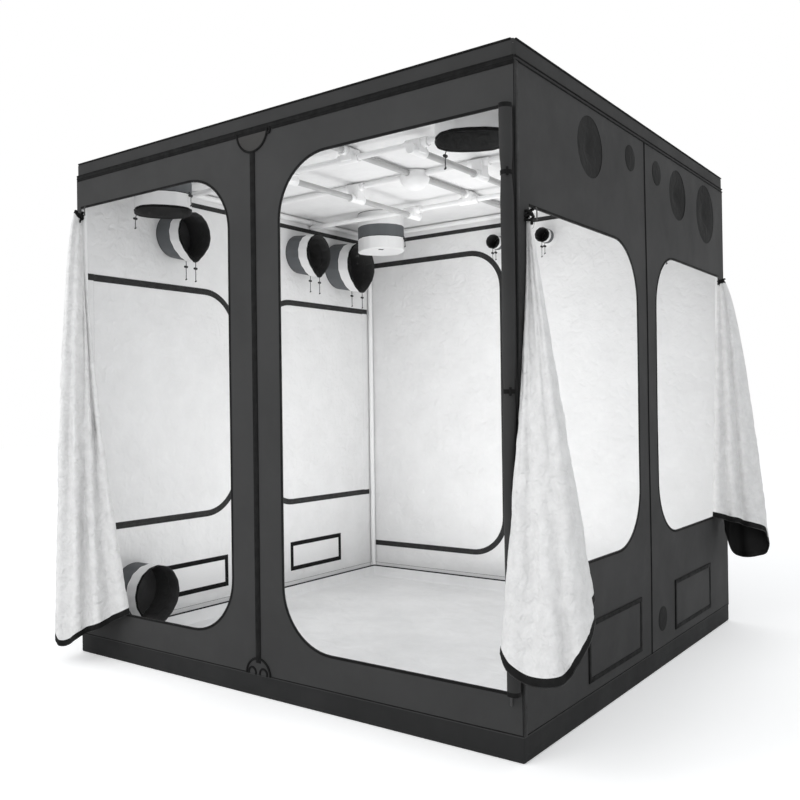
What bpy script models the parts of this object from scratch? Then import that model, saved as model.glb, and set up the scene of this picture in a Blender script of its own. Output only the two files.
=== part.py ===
"""Indoor grow tent, a two metre cube of lined canvas over a pole frame.

Every sub-part is one named object and one closed body. Lengths are in metres,
+Z is up, the origin is the centre of the floor's underside, the front is at -Y.
Wall pieces are drawn in wall coordinates: x to the right seen from outside,
y inward from the outer face, z up.
"""

import math

import bpy
import bmesh
from mathutils import Matrix, Vector

# Overall cover
TENT_WIDTH = 2.0
TENT_DEPTH = 2.0
TENT_HEIGHT = 2.0
FABRIC = 0.003
GAP = 0.0003
OVERRUN = 0.01
BASE_BAND = 0.075
TOP_BAND = 0.065

# Two doors in the front panel and one in the back panel
DOOR_MARGIN = 0.19
DOOR_EDGE = 0.025
DOOR_FREE = 0.122
DOOR_CORNER = 0.20

# Windows in the side panels
WINDOW_LOW = 0.49
WINDOW_HEAD = 0.46
WINDOW_EDGE = 0.075
WINDOW_FREE = 0.10
WINDOW_CORNER = 0.20

# Vents: a thin screen left in the wall and a flap outside it
VENT_HEIGHT = 0.205
VENT_WIDTH = 0.45
VENT_DROP = 0.18
SCREEN_MARGIN = 0.025
SCREEN_DEPTH = 0.001
VENT_APART = 0.007

# Small ports with a short collar on the inside
PORT_RADIUS = 0.0395
PORT_WALL = 0.002
PORT_LENGTH = 0.07
BACK_PORT_RADIUS = 0.035
BACK_PORT_LENGTH = 0.09
RIGHT_PORT_FRONT = -0.14
RIGHT_PORT_REAR = 0.13
RIGHT_PORT_DROP = 0.155
RIGHT_PORT_LOW_PLACE = 0.12
RIGHT_PORT_LOW = 0.18
BACK_PORT_EAST = 0.15
BACK_PORT_WEST = -0.13
BACK_PORT_DROP = 0.16

# Duct sleeves, closed outside and open inside
SLEEVE_SMALL_RADIUS = 0.10
SLEEVE_LARGE_RADIUS = 0.125
SLEEVE_LOW_RADIUS = 0.118
SLEEVE_ROOF_RADIUS = 0.12
SLEEVE_SMALL_LENGTH = 0.15
SLEEVE_LARGE_LENGTH = 0.17
SLEEVE_LOW_LENGTH = 0.16
SLEEVE_ROOF_LENGTH = 0.20
SLEEVE_CLOTH = 0.003
SLEEVE_DIMPLE = 0.012
SLEEVE_RECESS = 0.0005
SLEEVE_PINCH = 0.022
SLEEVE_DROOP = 0.014
ROOF_FOLD = 0.006
RIGHT_SLEEVE_DROP = 0.195
RIGHT_SLEEVE_REAR_DROP = 0.21
LEFT_SLEEVE_DROP = 0.225
LEFT_SLEEVE_MIDDLE_DROP = 0.20
LEFT_SLEEVE_LOW = 0.205

# Places along the side walls, as shares of half the depth from the middle, and
# on the roof, as shares of half the width and half the depth
RIGHT_SLEEVE_SHARES = (-0.49, 0.37, 0.735)
LEFT_SLEEVE_SHARES = (-0.49, 0.37, 0.71, -0.73)
VENT_SHARES = (-0.335, 0.49)
ROOF_SLEEVE_SHARES = ((-0.75, -0.76), (0.75, -0.80), (-0.62, 0.60))

# Poles and connectors
POLE_RADIUS = 0.0125
POLE_BORE = 0.0113
CONNECTOR_RADIUS = 0.016
CORNER_ARM = 0.055
CORNER_HEEL = 0.014
SOCKET_START = 0.02
ARM_SHARES = (1.0, 0.98, 0.96)
TEE_SLEEVE = 0.06
TEE_BRANCH = 0.045
TEE_SOCKET = 0.0165
HUB_RADIUS = 0.06
HUB_SHOULDER_RADIUS = 0.055
HUB_DOME_RADIUS = 0.046
HUB_TIP_RADIUS = 0.026
HUB_SHOULDER = 0.004
HUB_RIM = 0.017
HUB_DOME = 0.025
HUB_TIP = 0.030
HANG_BAR_SHARES = (0.46, 0.32)
HANG_DROP = 0.027
CLIP_RADIUS = 0.016
CLIP_WIDTH = 0.03

# Spill tray
TRAY_RIM = 0.06

# Panels that hang open or are rolled
HUNG_CLOTH = 0.003
HUNG_CLOTH_SHARE = 0.011
DOOR_HUNG_START = 0.10
WINDOW_HUNG_START = 0.09
HUNG_CORNER = 0.20
FALL_POWER = 0.82
ROLL_RADIUS = 0.02
ROLL_ASIDE = 0.005

# Counts of facets and steps
POLE_SIDES = 12
ROUND_SIDES = 24
SLEEVE_SIDES = 16
CORNER_STEPS = 6
HUNG_ROWS = 6
HUNG_STEPS = 52
CURVE_STEPS = 10

# Facing directions of the hung panels, from the way to their opening outward
DOOR_FACING = math.radians(35)
FRONT_WINDOW_FACING = math.radians(142.5)
REAR_WINDOW_FACING = math.radians(15.4)

# Fold lines of the hung panels: slopes across and towards the facing direction,
# as shares of a ray's length, and the ray's angle in the flat cloth in degrees
DOOR_FOLD_SHARES = (
    (0.0, 0.0, 0), (0.045, 0.072, 4), (0.088, 0.134, 8), (0.082, 0.155, 10),
    (0.055, 0.128, 13), (0.03, 0.140, 16), (0.005, 0.108, 19), (-0.02, 0.115, 22),
    (-0.04, 0.085, 25), (-0.058, 0.076, 27), (-0.063, 0.050, 30), (-0.045, 0.034, 33),
    (-0.02, 0.062, 37), (0.0, 0.058, 40), (0.02, 0.088, 44), (0.045, 0.092, 47),
    (0.052, 0.108, 50), (0.03, 0.072, 55), (0.002, 0.032, 60), (-0.02, 0.022, 64),
    (-0.045, 0.006, 69), (-0.052, -0.014, 74), (-0.03, -0.016, 79), (-0.012, 0.004, 85),
    (-0.004, 0.018, 90),
)
FRONT_WINDOW_FOLD_SHARES = (
    (0.0, 0.0, 0), (0.07, 0.04, 6), (0.110, 0.085, 11), (0.114, 0.135, 15),
    (0.095, 0.165, 18), (0.088, 0.215, 22), (0.05, 0.226, 25), (0.035, 0.272, 29),
    (0.0, 0.25, 32), (-0.025, 0.268, 35), (-0.06, 0.222, 38), (-0.095, 0.205, 41),
    (-0.102, 0.158, 44), (-0.068, 0.138, 47), (-0.045, 0.188, 51), (-0.01, 0.166, 54),
    (0.015, 0.21, 57), (0.045, 0.165, 61), (0.075, 0.12, 65), (0.04, 0.10, 68),
    (0.01, 0.135, 72), (-0.022, 0.10, 76), (-0.044, 0.090, 78), (-0.02, 0.055, 81),
    (0.01, 0.075, 84), (0.035, 0.055, 90),
)
REAR_WINDOW_FOLD_SHARES = (
    (0.0, 0.0, 0), (0.018, 0.078, 4), (0.034, 0.145, 8), (0.015, 0.165, 10),
    (-0.015, 0.145, 12), (-0.045, 0.160, 14), (-0.07, 0.132, 16), (-0.10, 0.142, 18),
    (-0.13, 0.112, 20), (-0.145, 0.085, 22), (-0.15, 0.058, 28), (-0.12, 0.045, 32),
    (-0.085, 0.062, 36), (-0.05, 0.042, 40), (-0.022, 0.060, 44), (-0.004, 0.045, 49),
    (-0.03, 0.018, 54), (-0.07, 0.025, 59), (-0.11, 0.006, 64), (-0.13, -0.016, 69),
    (-0.10, -0.032, 74), (-0.06, -0.010, 79), (-0.03, -0.012, 84), (-0.012, 0.006, 90),
)

# Derived sizes
FRAME_INSET = FABRIC + GAP + CONNECTOR_RADIUS
HALF_WIDTH = TENT_WIDTH / 2
HALF_DEPTH = TENT_DEPTH / 2
DOOR_LOW = DOOR_MARGIN
DOOR_HIGH = TENT_HEIGHT - DOOR_MARGIN
DOOR_HINGE = HALF_WIDTH - DOOR_EDGE
WINDOW_HIGH = TENT_HEIGHT - WINDOW_HEAD
WINDOW_HINGE = HALF_DEPTH - WINDOW_EDGE
SCREEN_WIDTH = VENT_WIDTH - 2 * SCREEN_MARGIN
SCREEN_DROP = VENT_DROP - 2 * SCREEN_MARGIN
RIGHT_VENT_FRONT = VENT_SHARES[0] * HALF_DEPTH
RIGHT_VENT_REAR = VENT_SHARES[1] * HALF_DEPTH
LEFT_VENT_FRONT = LEFT_SLEEVE_SHARES[3] * HALF_DEPTH + SLEEVE_LOW_RADIUS + VENT_APART + VENT_WIDTH / 2
LEFT_VENT_REAR = VENT_SHARES[1] * HALF_DEPTH
RIGHT_PORT_HIGH = TENT_HEIGHT - RIGHT_PORT_DROP
BACK_PORT_HIGH = TENT_HEIGHT - BACK_PORT_DROP
HANG_OFFSET = HANG_BAR_SHARES[0] * HALF_DEPTH
HANG_SIDE = HANG_BAR_SHARES[1] * HALF_WIDTH
WALL_LOW = BASE_BAND + GAP
WALL_HIGH = TENT_HEIGHT - TOP_BAND - GAP
SIDE_WIDTH = TENT_DEPTH - 2 * (FABRIC + GAP)
RAIL_HIGH = TENT_HEIGHT - FRAME_INSET

# Turns of the four walls about Z
FRONT_TURN = 0.0
RIGHT_TURN = math.pi / 2
BACK_TURN = math.pi
LEFT_TURN = -math.pi / 2

DARK_CANVAS = (0.055, 0.055, 0.058, 1.0)
BLACK_CANVAS = (0.028, 0.028, 0.030, 1.0)
DUCT_CLOTH = (0.13, 0.13, 0.14, 1.0)
WHITE_FILM = (0.75, 0.76, 0.78, 1.0)
WHITE_PAINT = (0.80, 0.80, 0.81, 1.0)
WHITE_PLASTIC = (0.70, 0.70, 0.72, 1.0)


def clear_scene():
    """Remove every object of the scene that Blender starts with."""
    for obj in list(bpy.data.objects):
        bpy.data.objects.remove(obj, do_unlink=True)


def material(name, colour, roughness, metallic=0.0):
    """Return a new Principled BSDF material."""
    made = bpy.data.materials.new(name)
    made.use_nodes = True
    shader = made.node_tree.nodes["Principled BSDF"]
    shader.inputs["Base Color"].default_value = colour
    shader.inputs["Roughness"].default_value = roughness
    shader.inputs["Metallic"].default_value = metallic
    made.diffuse_color = colour
    return made


def mesh_of(name, bm):
    """Turn a bmesh into a mesh with its faces pointing out."""
    bmesh.ops.recalc_face_normals(bm, faces=bm.faces)
    mesh = bpy.data.meshes.new(name)
    bm.to_mesh(mesh)
    bm.free()
    return mesh


def add_object(name, mesh, matrix, smooth=False):
    """Link one object that carries the mesh at the given place."""
    obj = bpy.data.objects.new(name, mesh)
    obj.matrix_world = matrix
    bpy.context.scene.collection.objects.link(obj)
    if smooth:
        for face in mesh.polygons:
            face.use_smooth = True
        mesh.set_sharp_from_angle(angle=math.radians(40))
    return obj


def finish(obj, colour, roughness, metallic=0.0):
    """Give the object its own material."""
    obj.data.materials.clear()
    obj.data.materials.append(material(obj.name + "_finish", colour, roughness, metallic))
    return obj


def face_of(bm, verts):
    """Add one face to the bmesh."""
    bm.faces.new(verts)


def loft(bm, rings, cyclic=False):
    """Skin a list of rings of points; the ends are capped unless cyclic."""
    rows = [[bm.verts.new(point) for point in ring] for ring in rings]
    count = len(rows[0])
    pairs = list(zip(rows, rows[1:]))
    if cyclic:
        pairs.append((rows[-1], rows[0]))
    for low, high in pairs:
        for step in range(count):
            after = (step + 1) % count
            face_of(bm, (low[step], low[after], high[after], high[step]))
    if not cyclic:
        face_of(bm, rows[0])
        face_of(bm, rows[-1])


def circle(radius, sides, height):
    """Return a ring of points about Z."""
    points = []
    for step in range(sides):
        angle = 2 * math.pi * step / sides
        points.append(Vector((radius * math.cos(angle), radius * math.sin(angle), height)))
    return points


def turned(points, matrix):
    """Return the points moved by the matrix."""
    return [matrix @ point for point in points]


def axis_matrix(direction, place):
    """Return the matrix that takes +Z to a direction and the origin to a place."""
    turn = Vector(direction).to_track_quat("Z", "Y").to_matrix().to_4x4()
    return Matrix.Translation(Vector(place)) @ turn


def rod(bm, start, direction, length, radius, sides=POLE_SIDES):
    """Add a solid round bar from a start point along one of the main axes."""
    matrix = axis_matrix(direction, start)
    loft(bm, [turned(circle(radius, sides, 0), matrix), turned(circle(radius, sides, length), matrix)])


def block(bm, low, high):
    """Add a box between two corners."""
    low_ring = [
        Vector((low[0], low[1], low[2])),
        Vector((high[0], low[1], low[2])),
        Vector((high[0], high[1], low[2])),
        Vector((low[0], high[1], low[2])),
    ]
    lift = Vector((0, 0, high[2] - low[2]))
    loft(bm, [low_ring, [point + lift for point in low_ring]])


def prism(bm, outline, front, back):
    """Add an outline of the wall plane as a solid between two depths."""
    loft(bm, [[Vector((x, front, z)) for x, z in outline], [Vector((x, back, z)) for x, z in outline]])


def combine(obj, bm, operation):
    """Add, or cut away, the solids of a bmesh and drop the operand."""
    operand = add_object(obj.name + "_operand", mesh_of(obj.name + "_operand", bm), obj.matrix_world)
    operand.display_type = "WIRE"
    operand.hide_render = True
    modifier = obj.modifiers.new(operation.lower(), "BOOLEAN")
    modifier.operation = operation
    modifier.solver = "EXACT"
    modifier.object = operand
    bpy.context.view_layer.update()
    graph = bpy.context.evaluated_depsgraph_get()
    result = bpy.data.meshes.new_from_object(obj.evaluated_get(graph))
    obj.modifiers.remove(modifier)
    obj.data = result
    bpy.data.objects.remove(operand, do_unlink=True)
    return obj


def wall_matrix(turn):
    """Return the place of a wall: its outer face is at y = 0 before the turn."""
    reach = HALF_DEPTH if turn in (FRONT_TURN, BACK_TURN) else HALF_WIDTH
    return Matrix.Rotation(turn, 4, "Z") @ Matrix.Translation((0, -reach, 0))


def panel_outline(hinge, free, low, high, corner, margin):
    """Return the D outline: sharp at the hinge, round at the free side."""
    side = 1 if free > hinge else -1
    hinge = hinge + side * margin
    free = free - side * margin
    low = low + margin
    high = high - margin
    points = [(hinge, low)]
    for step in range(CORNER_STEPS + 1):
        angle = math.pi / 2 * step / CORNER_STEPS
        points.append((free - side * corner * (1 - math.sin(angle)), low + corner * (1 - math.cos(angle))))
    for step in range(CORNER_STEPS + 1):
        angle = math.pi / 2 * step / CORNER_STEPS
        points.append((free - side * corner * (1 - math.cos(angle)), high - corner * (1 - math.sin(angle))))
    points.append((hinge, high))
    return points


def make_wall(name, turn, width, panels, sleeves, ports, vents):
    """Make one wall panel with its openings, screens and port collars."""
    bm = bmesh.new()
    block(bm, (-width / 2, 0, WALL_LOW), (width / 2, FABRIC, WALL_HIGH))
    obj = add_object(name, mesh_of(name, bm), wall_matrix(turn))
    if ports:
        bm = bmesh.new()
        for x, z, radius, length in ports:
            rod(bm, (x, FABRIC / 2, z), (0, 1, 0), length, radius + PORT_WALL, SLEEVE_SIDES)
        combine(obj, bm, "UNION")
    bm = bmesh.new()
    for hinge, free, low, high, corner in panels:
        prism(bm, panel_outline(hinge, free, low, high, corner, 0), -OVERRUN, FABRIC + OVERRUN)
    for x, z, radius in sleeves:
        rod(bm, (x, -OVERRUN, z), (0, 1, 0), FABRIC + 2 * OVERRUN, radius + GAP, SLEEVE_SIDES)
    for x, z, radius, length in ports:
        rod(bm, (x, -OVERRUN, z), (0, 1, 0), length + 2 * OVERRUN, radius, SLEEVE_SIDES)
    for x in vents:
        low = VENT_HEIGHT - SCREEN_DROP / 2
        high = VENT_HEIGHT + SCREEN_DROP / 2
        block(bm, (x - SCREEN_WIDTH / 2, -OVERRUN, low), (x + SCREEN_WIDTH / 2, SCREEN_DEPTH, high))
        inner = FABRIC - SCREEN_DEPTH
        block(bm, (x - SCREEN_WIDTH / 2, inner, low), (x + SCREEN_WIDTH / 2, FABRIC + OVERRUN, high))
    combine(obj, bm, "DIFFERENCE")
    return finish(obj, DARK_CANVAS, 0.7)


def make_walls():
    """Make the front, back, left and right panels."""
    doors = [
        (-DOOR_HINGE, -DOOR_FREE, DOOR_LOW, DOOR_HIGH, DOOR_CORNER),
        (DOOR_HINGE, DOOR_FREE, DOOR_LOW, DOOR_HIGH, DOOR_CORNER),
    ]
    windows = [
        (-WINDOW_HINGE, -WINDOW_FREE, WINDOW_LOW, WINDOW_HIGH, WINDOW_CORNER),
        (WINDOW_HINGE, WINDOW_FREE, WINDOW_LOW, WINDOW_HIGH, WINDOW_CORNER),
    ]
    make_wall("front_panel", FRONT_TURN, TENT_WIDTH, doors, [], [], [])
    back_ports = [
        (-BACK_PORT_EAST, BACK_PORT_HIGH, BACK_PORT_RADIUS, BACK_PORT_LENGTH),
        (-BACK_PORT_WEST, BACK_PORT_HIGH, BACK_PORT_RADIUS, BACK_PORT_LENGTH),
    ]
    make_wall("back_panel", BACK_TURN, TENT_WIDTH, doors[1:], [], back_ports, [])
    right_sleeves = [(place, high, radius) for name, place, high, radius, length in RIGHT_SLEEVES]
    right_ports = [
        (RIGHT_PORT_FRONT, RIGHT_PORT_HIGH, PORT_RADIUS, PORT_LENGTH),
        (RIGHT_PORT_REAR, RIGHT_PORT_HIGH, PORT_RADIUS, PORT_LENGTH),
        (RIGHT_PORT_LOW_PLACE, RIGHT_PORT_LOW, PORT_RADIUS, PORT_LENGTH),
    ]
    right_vents = [RIGHT_VENT_FRONT, RIGHT_VENT_REAR]
    make_wall("right_panel", RIGHT_TURN, SIDE_WIDTH, windows, right_sleeves, right_ports, right_vents)
    left_sleeves = [(-place, high, radius) for name, place, high, radius, length in LEFT_SLEEVES]
    left_vents = [-LEFT_VENT_FRONT, -LEFT_VENT_REAR]
    make_wall("left_panel", LEFT_TURN, SIDE_WIDTH, windows, left_sleeves, [], left_vents)


def shell(bm, width, depth, low, high, cloth, open_up):
    """Add a shallow open box: a sheet with a rim all round."""
    def ring(x, y, z):
        return [Vector((-x, -y, z)), Vector((x, -y, z)), Vector((x, y, z)), Vector((-x, y, z))]
    x = width / 2
    y = depth / 2
    sheet = low if open_up else high
    edge = high if open_up else low
    inner = sheet + cloth if open_up else sheet - cloth
    loft(bm, [ring(x, y, sheet), ring(x, y, edge), ring(x - cloth, y - cloth, edge), ring(x - cloth, y - cloth, inner)])


def make_roof():
    """Make the roof with its skirt and three duct openings."""
    bm = bmesh.new()
    shell(bm, TENT_WIDTH, TENT_DEPTH, TENT_HEIGHT - TOP_BAND, TENT_HEIGHT, FABRIC, False)
    obj = add_object("roof_panel", mesh_of("roof_panel", bm), Matrix.Identity(4))
    bm = bmesh.new()
    for name, x, y in ROOF_SLEEVES:
        start = (x, y, TENT_HEIGHT - FABRIC - OVERRUN)
        rod(bm, start, (0, 0, 1), FABRIC + 2 * OVERRUN, SLEEVE_ROOF_RADIUS + GAP, SLEEVE_SIDES)
    combine(obj, bm, "DIFFERENCE")
    finish(obj, DARK_CANVAS, 0.7)


def make_floor():
    """Make the ground sheet with its band and the spill tray on it."""
    bm = bmesh.new()
    shell(bm, TENT_WIDTH, TENT_DEPTH, 0, BASE_BAND, FABRIC, True)
    sheet = add_object("ground_sheet", mesh_of("ground_sheet", bm), Matrix.Identity(4))
    finish(sheet, BLACK_CANVAS, 0.75)
    inset = FRAME_INSET + CONNECTOR_RADIUS + GAP
    low = FABRIC + GAP
    bm = bmesh.new()
    shell(bm, TENT_WIDTH - 2 * inset, TENT_DEPTH - 2 * inset, low, low + TRAY_RIM, FABRIC, True)
    tray = add_object("spill_tray", mesh_of("spill_tray", bm), Matrix.Identity(4))
    finish(tray, WHITE_FILM, 0.45)


def make_closed_panel(name, turn, hinge, free, low, high, corner):
    """Make a door or window panel zipped shut, its origin on the hinge edge."""
    outline = [(x - hinge, z) for x, z in panel_outline(hinge, free, low, high, corner, GAP)]
    bm = bmesh.new()
    prism(bm, outline, 0, FABRIC)
    place = wall_matrix(turn) @ Matrix.Translation((hinge, 0, 0))
    obj = add_object(name, mesh_of(name, bm), place)
    return finish(obj, DARK_CANVAS, 0.7)


def make_rolled_door():
    """Make the front right door rolled up and tied beside its hinge edge."""
    bm = bmesh.new()
    start = (ROLL_ASIDE, -ROLL_RADIUS - GAP, DOOR_LOW)
    rod(bm, start, (0, 0, 1), DOOR_HIGH - DOOR_LOW, ROLL_RADIUS, SLEEVE_SIDES)
    matrix = wall_matrix(FRONT_TURN) @ Matrix.Translation((DOOR_HINGE, 0, 0))
    obj = add_object("front_right_door", mesh_of("front_right_door", bm), matrix, smooth=True)
    finish(obj, DARK_CANVAS, 0.7)


def smooth_path(points):
    """Return a Catmull-Rom curve through the points."""
    first = tuple(2 * p - q for p, q in zip(points[0], points[1]))
    last = tuple(2 * p - q for p, q in zip(points[-1], points[-2]))
    ends = [first] + list(points) + [last]
    curve = []
    for index in range(len(points) - 1):
        a, b, c, d = ends[index:index + 4]
        for step in range(CURVE_STEPS):
            t = step / CURVE_STEPS
            curve.append(tuple(
                0.5 * (2 * q + (r - p) * t + (2 * p - 5 * q + 4 * r - s) * t * t
                       + (3 * q - p - 3 * r + s) * t * t * t)
                for p, q, r, s in zip(a, b, c, d)))
    curve.append(tuple(points[-1]))
    return curve


def even_steps(curve, count):
    """Return points spaced evenly along a curve, by its first two values."""
    reached = [0.0]
    for before, after in zip(curve, curve[1:]):
        reached.append(reached[-1] + math.dist(before[:2], after[:2]))
    points = []
    index = 0
    for step in range(count):
        wanted = reached[-1] * step / (count - 1)
        while index < len(curve) - 2 and reached[index + 1] < wanted:
            index += 1
        part = (wanted - reached[index]) / (reached[index + 1] - reached[index])
        points.append(tuple(p + (q - p) * part for p, q in zip(curve[index], curve[index + 1])))
    return points


def cloth_reach(angle, width, height, corner):
    """Return the length of a panel along a ray from the top of its hinge edge."""
    across = math.sin(angle)
    down = math.cos(angle)
    reach = min(height / max(down, 1e-9), width / max(across, 1e-9))
    x = across * reach
    z = down * reach
    for centre in (corner, height - corner):
        outside = z < centre if centre == corner else z > centre
        if x > width - corner and outside:
            along = across * (width - corner) + down * centre
            apart = (width - corner) ** 2 + centre ** 2 - corner ** 2
            reach = along + math.sqrt(max(along * along - apart, 0))
    return reach


def hung_rows(shares, facing, width, height, start):
    """Return rows of points of a panel that hangs in folds from its hinge edge."""
    rows = []
    for across, toward, angle in even_steps(smooth_path(shares), HUNG_STEPS):
        reach = cloth_reach(math.radians(min(max(angle, 0), 90)), width, height, HUNG_CORNER)
        inward = toward * math.cos(facing) + across * math.sin(facing)
        outward = toward * math.sin(facing) - across * math.cos(facing)
        row = []
        for step in range(HUNG_ROWS):
            along = start + (reach - start) * step / (HUNG_ROWS - 1)
            spread = reach * (along / reach) ** FALL_POWER
            x = inward * spread
            y = outward * spread
            row.append(Vector((x, -y, -math.sqrt(along * along - x * x - y * y))))
        rows.append(row)
    return rows


def make_hung_panel(name, turn, hinge, side, top, size, shares, facing, start):
    """Make a panel that hangs open in folds; side is the way to its opening."""
    width, height = size
    rows = hung_rows(shares, facing, width, height, start)
    outer = []
    inner = []
    for index, row in enumerate(rows):
        before = rows[max(index - 1, 0)]
        after = rows[min(index + 1, len(rows) - 1)]
        outer_row = []
        inner_row = []
        for step, point in enumerate(row):
            along = row[min(step + 1, len(row) - 1)] - row[max(step - 1, 0)]
            across = after[step] - before[step]
            normal = along.cross(across).normalized()
            half = min(HUNG_CLOTH, HUNG_CLOTH_SHARE * point.length) / 2
            lift = Vector((0, -GAP - half, 0))
            outer_row.append(point + lift + normal * half)
            inner_row.append(point + lift - normal * half)
        outer.append(outer_row)
        inner.append(inner_row)
    bm = bmesh.new()
    rings = [front + list(reversed(back)) for front, back in zip(outer, inner)]
    flip = Matrix.Scale(side, 4, (1, 0, 0))
    loft(bm, [turned(ring, flip) for ring in rings])
    bmesh.ops.triangulate(bm, faces=bm.faces)
    place = wall_matrix(turn) @ Matrix.Translation((hinge, 0, top))
    obj = add_object(name, mesh_of(name, bm), place, smooth=True)
    return finish(obj, DARK_CANVAS, 0.7)


def make_panels():
    """Make the three doors and four windows in the photo's positions."""
    door_size = (DOOR_HINGE - DOOR_FREE, DOOR_HIGH - DOOR_LOW)
    window_size = (WINDOW_HINGE - WINDOW_FREE, WINDOW_HIGH - WINDOW_LOW)
    make_hung_panel("front_left_door", FRONT_TURN, -DOOR_HINGE, 1, DOOR_HIGH, door_size,
                    DOOR_FOLD_SHARES, DOOR_FACING, DOOR_HUNG_START)
    make_rolled_door()
    make_closed_panel("back_left_door", BACK_TURN, DOOR_HINGE, DOOR_FREE, DOOR_LOW, DOOR_HIGH, DOOR_CORNER)
    window = (WINDOW_LOW, WINDOW_HIGH, WINDOW_CORNER)
    make_closed_panel("left_front_window", LEFT_TURN, WINDOW_HINGE, WINDOW_FREE, *window)
    make_closed_panel("left_rear_window", LEFT_TURN, -WINDOW_HINGE, -WINDOW_FREE, *window)
    make_hung_panel("right_front_window", RIGHT_TURN, -WINDOW_HINGE, 1, WINDOW_HIGH, window_size,
                    FRONT_WINDOW_FOLD_SHARES, FRONT_WINDOW_FACING, WINDOW_HUNG_START)
    make_hung_panel("right_rear_window", RIGHT_TURN, WINDOW_HINGE, -1, WINDOW_HIGH, window_size,
                    REAR_WINDOW_FOLD_SHARES, REAR_WINDOW_FACING, WINDOW_HUNG_START)


def make_vent_flap(name, turn, place):
    """Make the flap outside a vent, its origin on its upper edge."""
    bm = bmesh.new()
    block(bm, (-VENT_WIDTH / 2, 0, -VENT_DROP), (VENT_WIDTH / 2, FABRIC, 0))
    top = VENT_HEIGHT + VENT_DROP / 2
    matrix = wall_matrix(turn) @ Matrix.Translation((place, -GAP - FABRIC, top))
    finish(add_object(name, mesh_of(name, bm), matrix), DARK_CANVAS, 0.7)


def sleeve_ring(radius, along, pinch, droop, fold):
    """Return one ring of a sleeve; pinch draws its lower side to a point."""
    points = []
    for step in range(SLEEVE_SIDES):
        angle = 2 * math.pi * step / SLEEVE_SIDES
        low = max(0.0, -math.sin(angle))
        wave = fold * math.cos(4 * angle)
        x = (radius + wave) * math.cos(angle) * (1 - pinch / radius * low * 2)
        z = (radius + wave) * math.sin(angle) - pinch * low ** 3 - droop
        points.append(Vector((x, along, z)))
    return points


def make_sleeve(name, matrix, radius, length, pinch, droop, fold):
    """Make a duct sleeve: gathered shut outside, an open mouth inside."""
    cloth = SLEEVE_CLOTH
    rings = [
        sleeve_ring(radius / 4, SLEEVE_RECESS + SLEEVE_DIMPLE, 0, 0, 0),
        sleeve_ring(radius * 4 / 5, SLEEVE_RECESS + SLEEVE_DIMPLE / 4, 0, 0, 0),
        sleeve_ring(radius, SLEEVE_RECESS, 0, 0, 0),
        sleeve_ring(radius, FABRIC + GAP, 0, 0, 0),
        sleeve_ring(radius, length / 3, pinch / 4, droop / 4, fold / 2),
        sleeve_ring(radius, length * 2 / 3, pinch / 2, droop / 2, fold),
        sleeve_ring(radius, length, pinch, droop, fold),
        sleeve_ring(radius - cloth, length, pinch, droop, fold),
        sleeve_ring(radius - cloth, length * 2 / 3, pinch / 2, droop / 2, fold),
        sleeve_ring(radius - cloth, length / 3, pinch / 4, droop / 4, fold / 2),
        sleeve_ring(radius - cloth, SLEEVE_RECESS + cloth, 0, 0, 0),
        sleeve_ring(radius * 4 / 5, SLEEVE_RECESS + SLEEVE_DIMPLE / 4 + cloth, 0, 0, 0),
        sleeve_ring(radius / 4, SLEEVE_RECESS + SLEEVE_DIMPLE + cloth, 0, 0, 0),
    ]
    bm = bmesh.new()
    loft(bm, rings)
    bmesh.ops.triangulate(bm, faces=bm.faces)
    finish(add_object(name, mesh_of(name, bm), matrix, smooth=True), DUCT_CLOTH, 0.8)


def make_sleeves():
    """Make the ten duct sleeves of the side walls and the roof."""
    for name, place, high, radius, length in RIGHT_SLEEVES:
        matrix = wall_matrix(RIGHT_TURN) @ Matrix.Translation((place, 0, high))
        make_sleeve(name, matrix, radius, length, SLEEVE_PINCH, SLEEVE_DROOP, 0)
    for name, place, high, radius, length in LEFT_SLEEVES:
        matrix = wall_matrix(LEFT_TURN) @ Matrix.Translation((-place, 0, high))
        droop = 0 if high < WINDOW_LOW else SLEEVE_DROOP
        make_sleeve(name, matrix, radius, length, SLEEVE_PINCH / 2 if droop == 0 else SLEEVE_PINCH, droop, 0)
    down = Matrix.Rotation(-math.pi / 2, 4, "X")
    for name, x, y in ROOF_SLEEVES:
        matrix = Matrix.Translation((x, y, TENT_HEIGHT)) @ down
        make_sleeve(name, matrix, SLEEVE_ROOF_RADIUS, SLEEVE_ROOF_LENGTH, 0, 0, ROOF_FOLD)


def make_tube(name, start, direction, length):
    """Make a hollow pole along one of the main axes."""
    matrix = axis_matrix(direction, start)
    rings = [
        circle(POLE_RADIUS, POLE_SIDES, 0),
        circle(POLE_RADIUS, POLE_SIDES, length),
        circle(POLE_BORE, POLE_SIDES, length),
        circle(POLE_BORE, POLE_SIDES, 0),
    ]
    bm = bmesh.new()
    loft(bm, rings, cyclic=True)
    obj = add_object(name, mesh_of(name, bm), matrix, smooth=True)
    return finish(obj, WHITE_PAINT, 0.35, 0.1)


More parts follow.
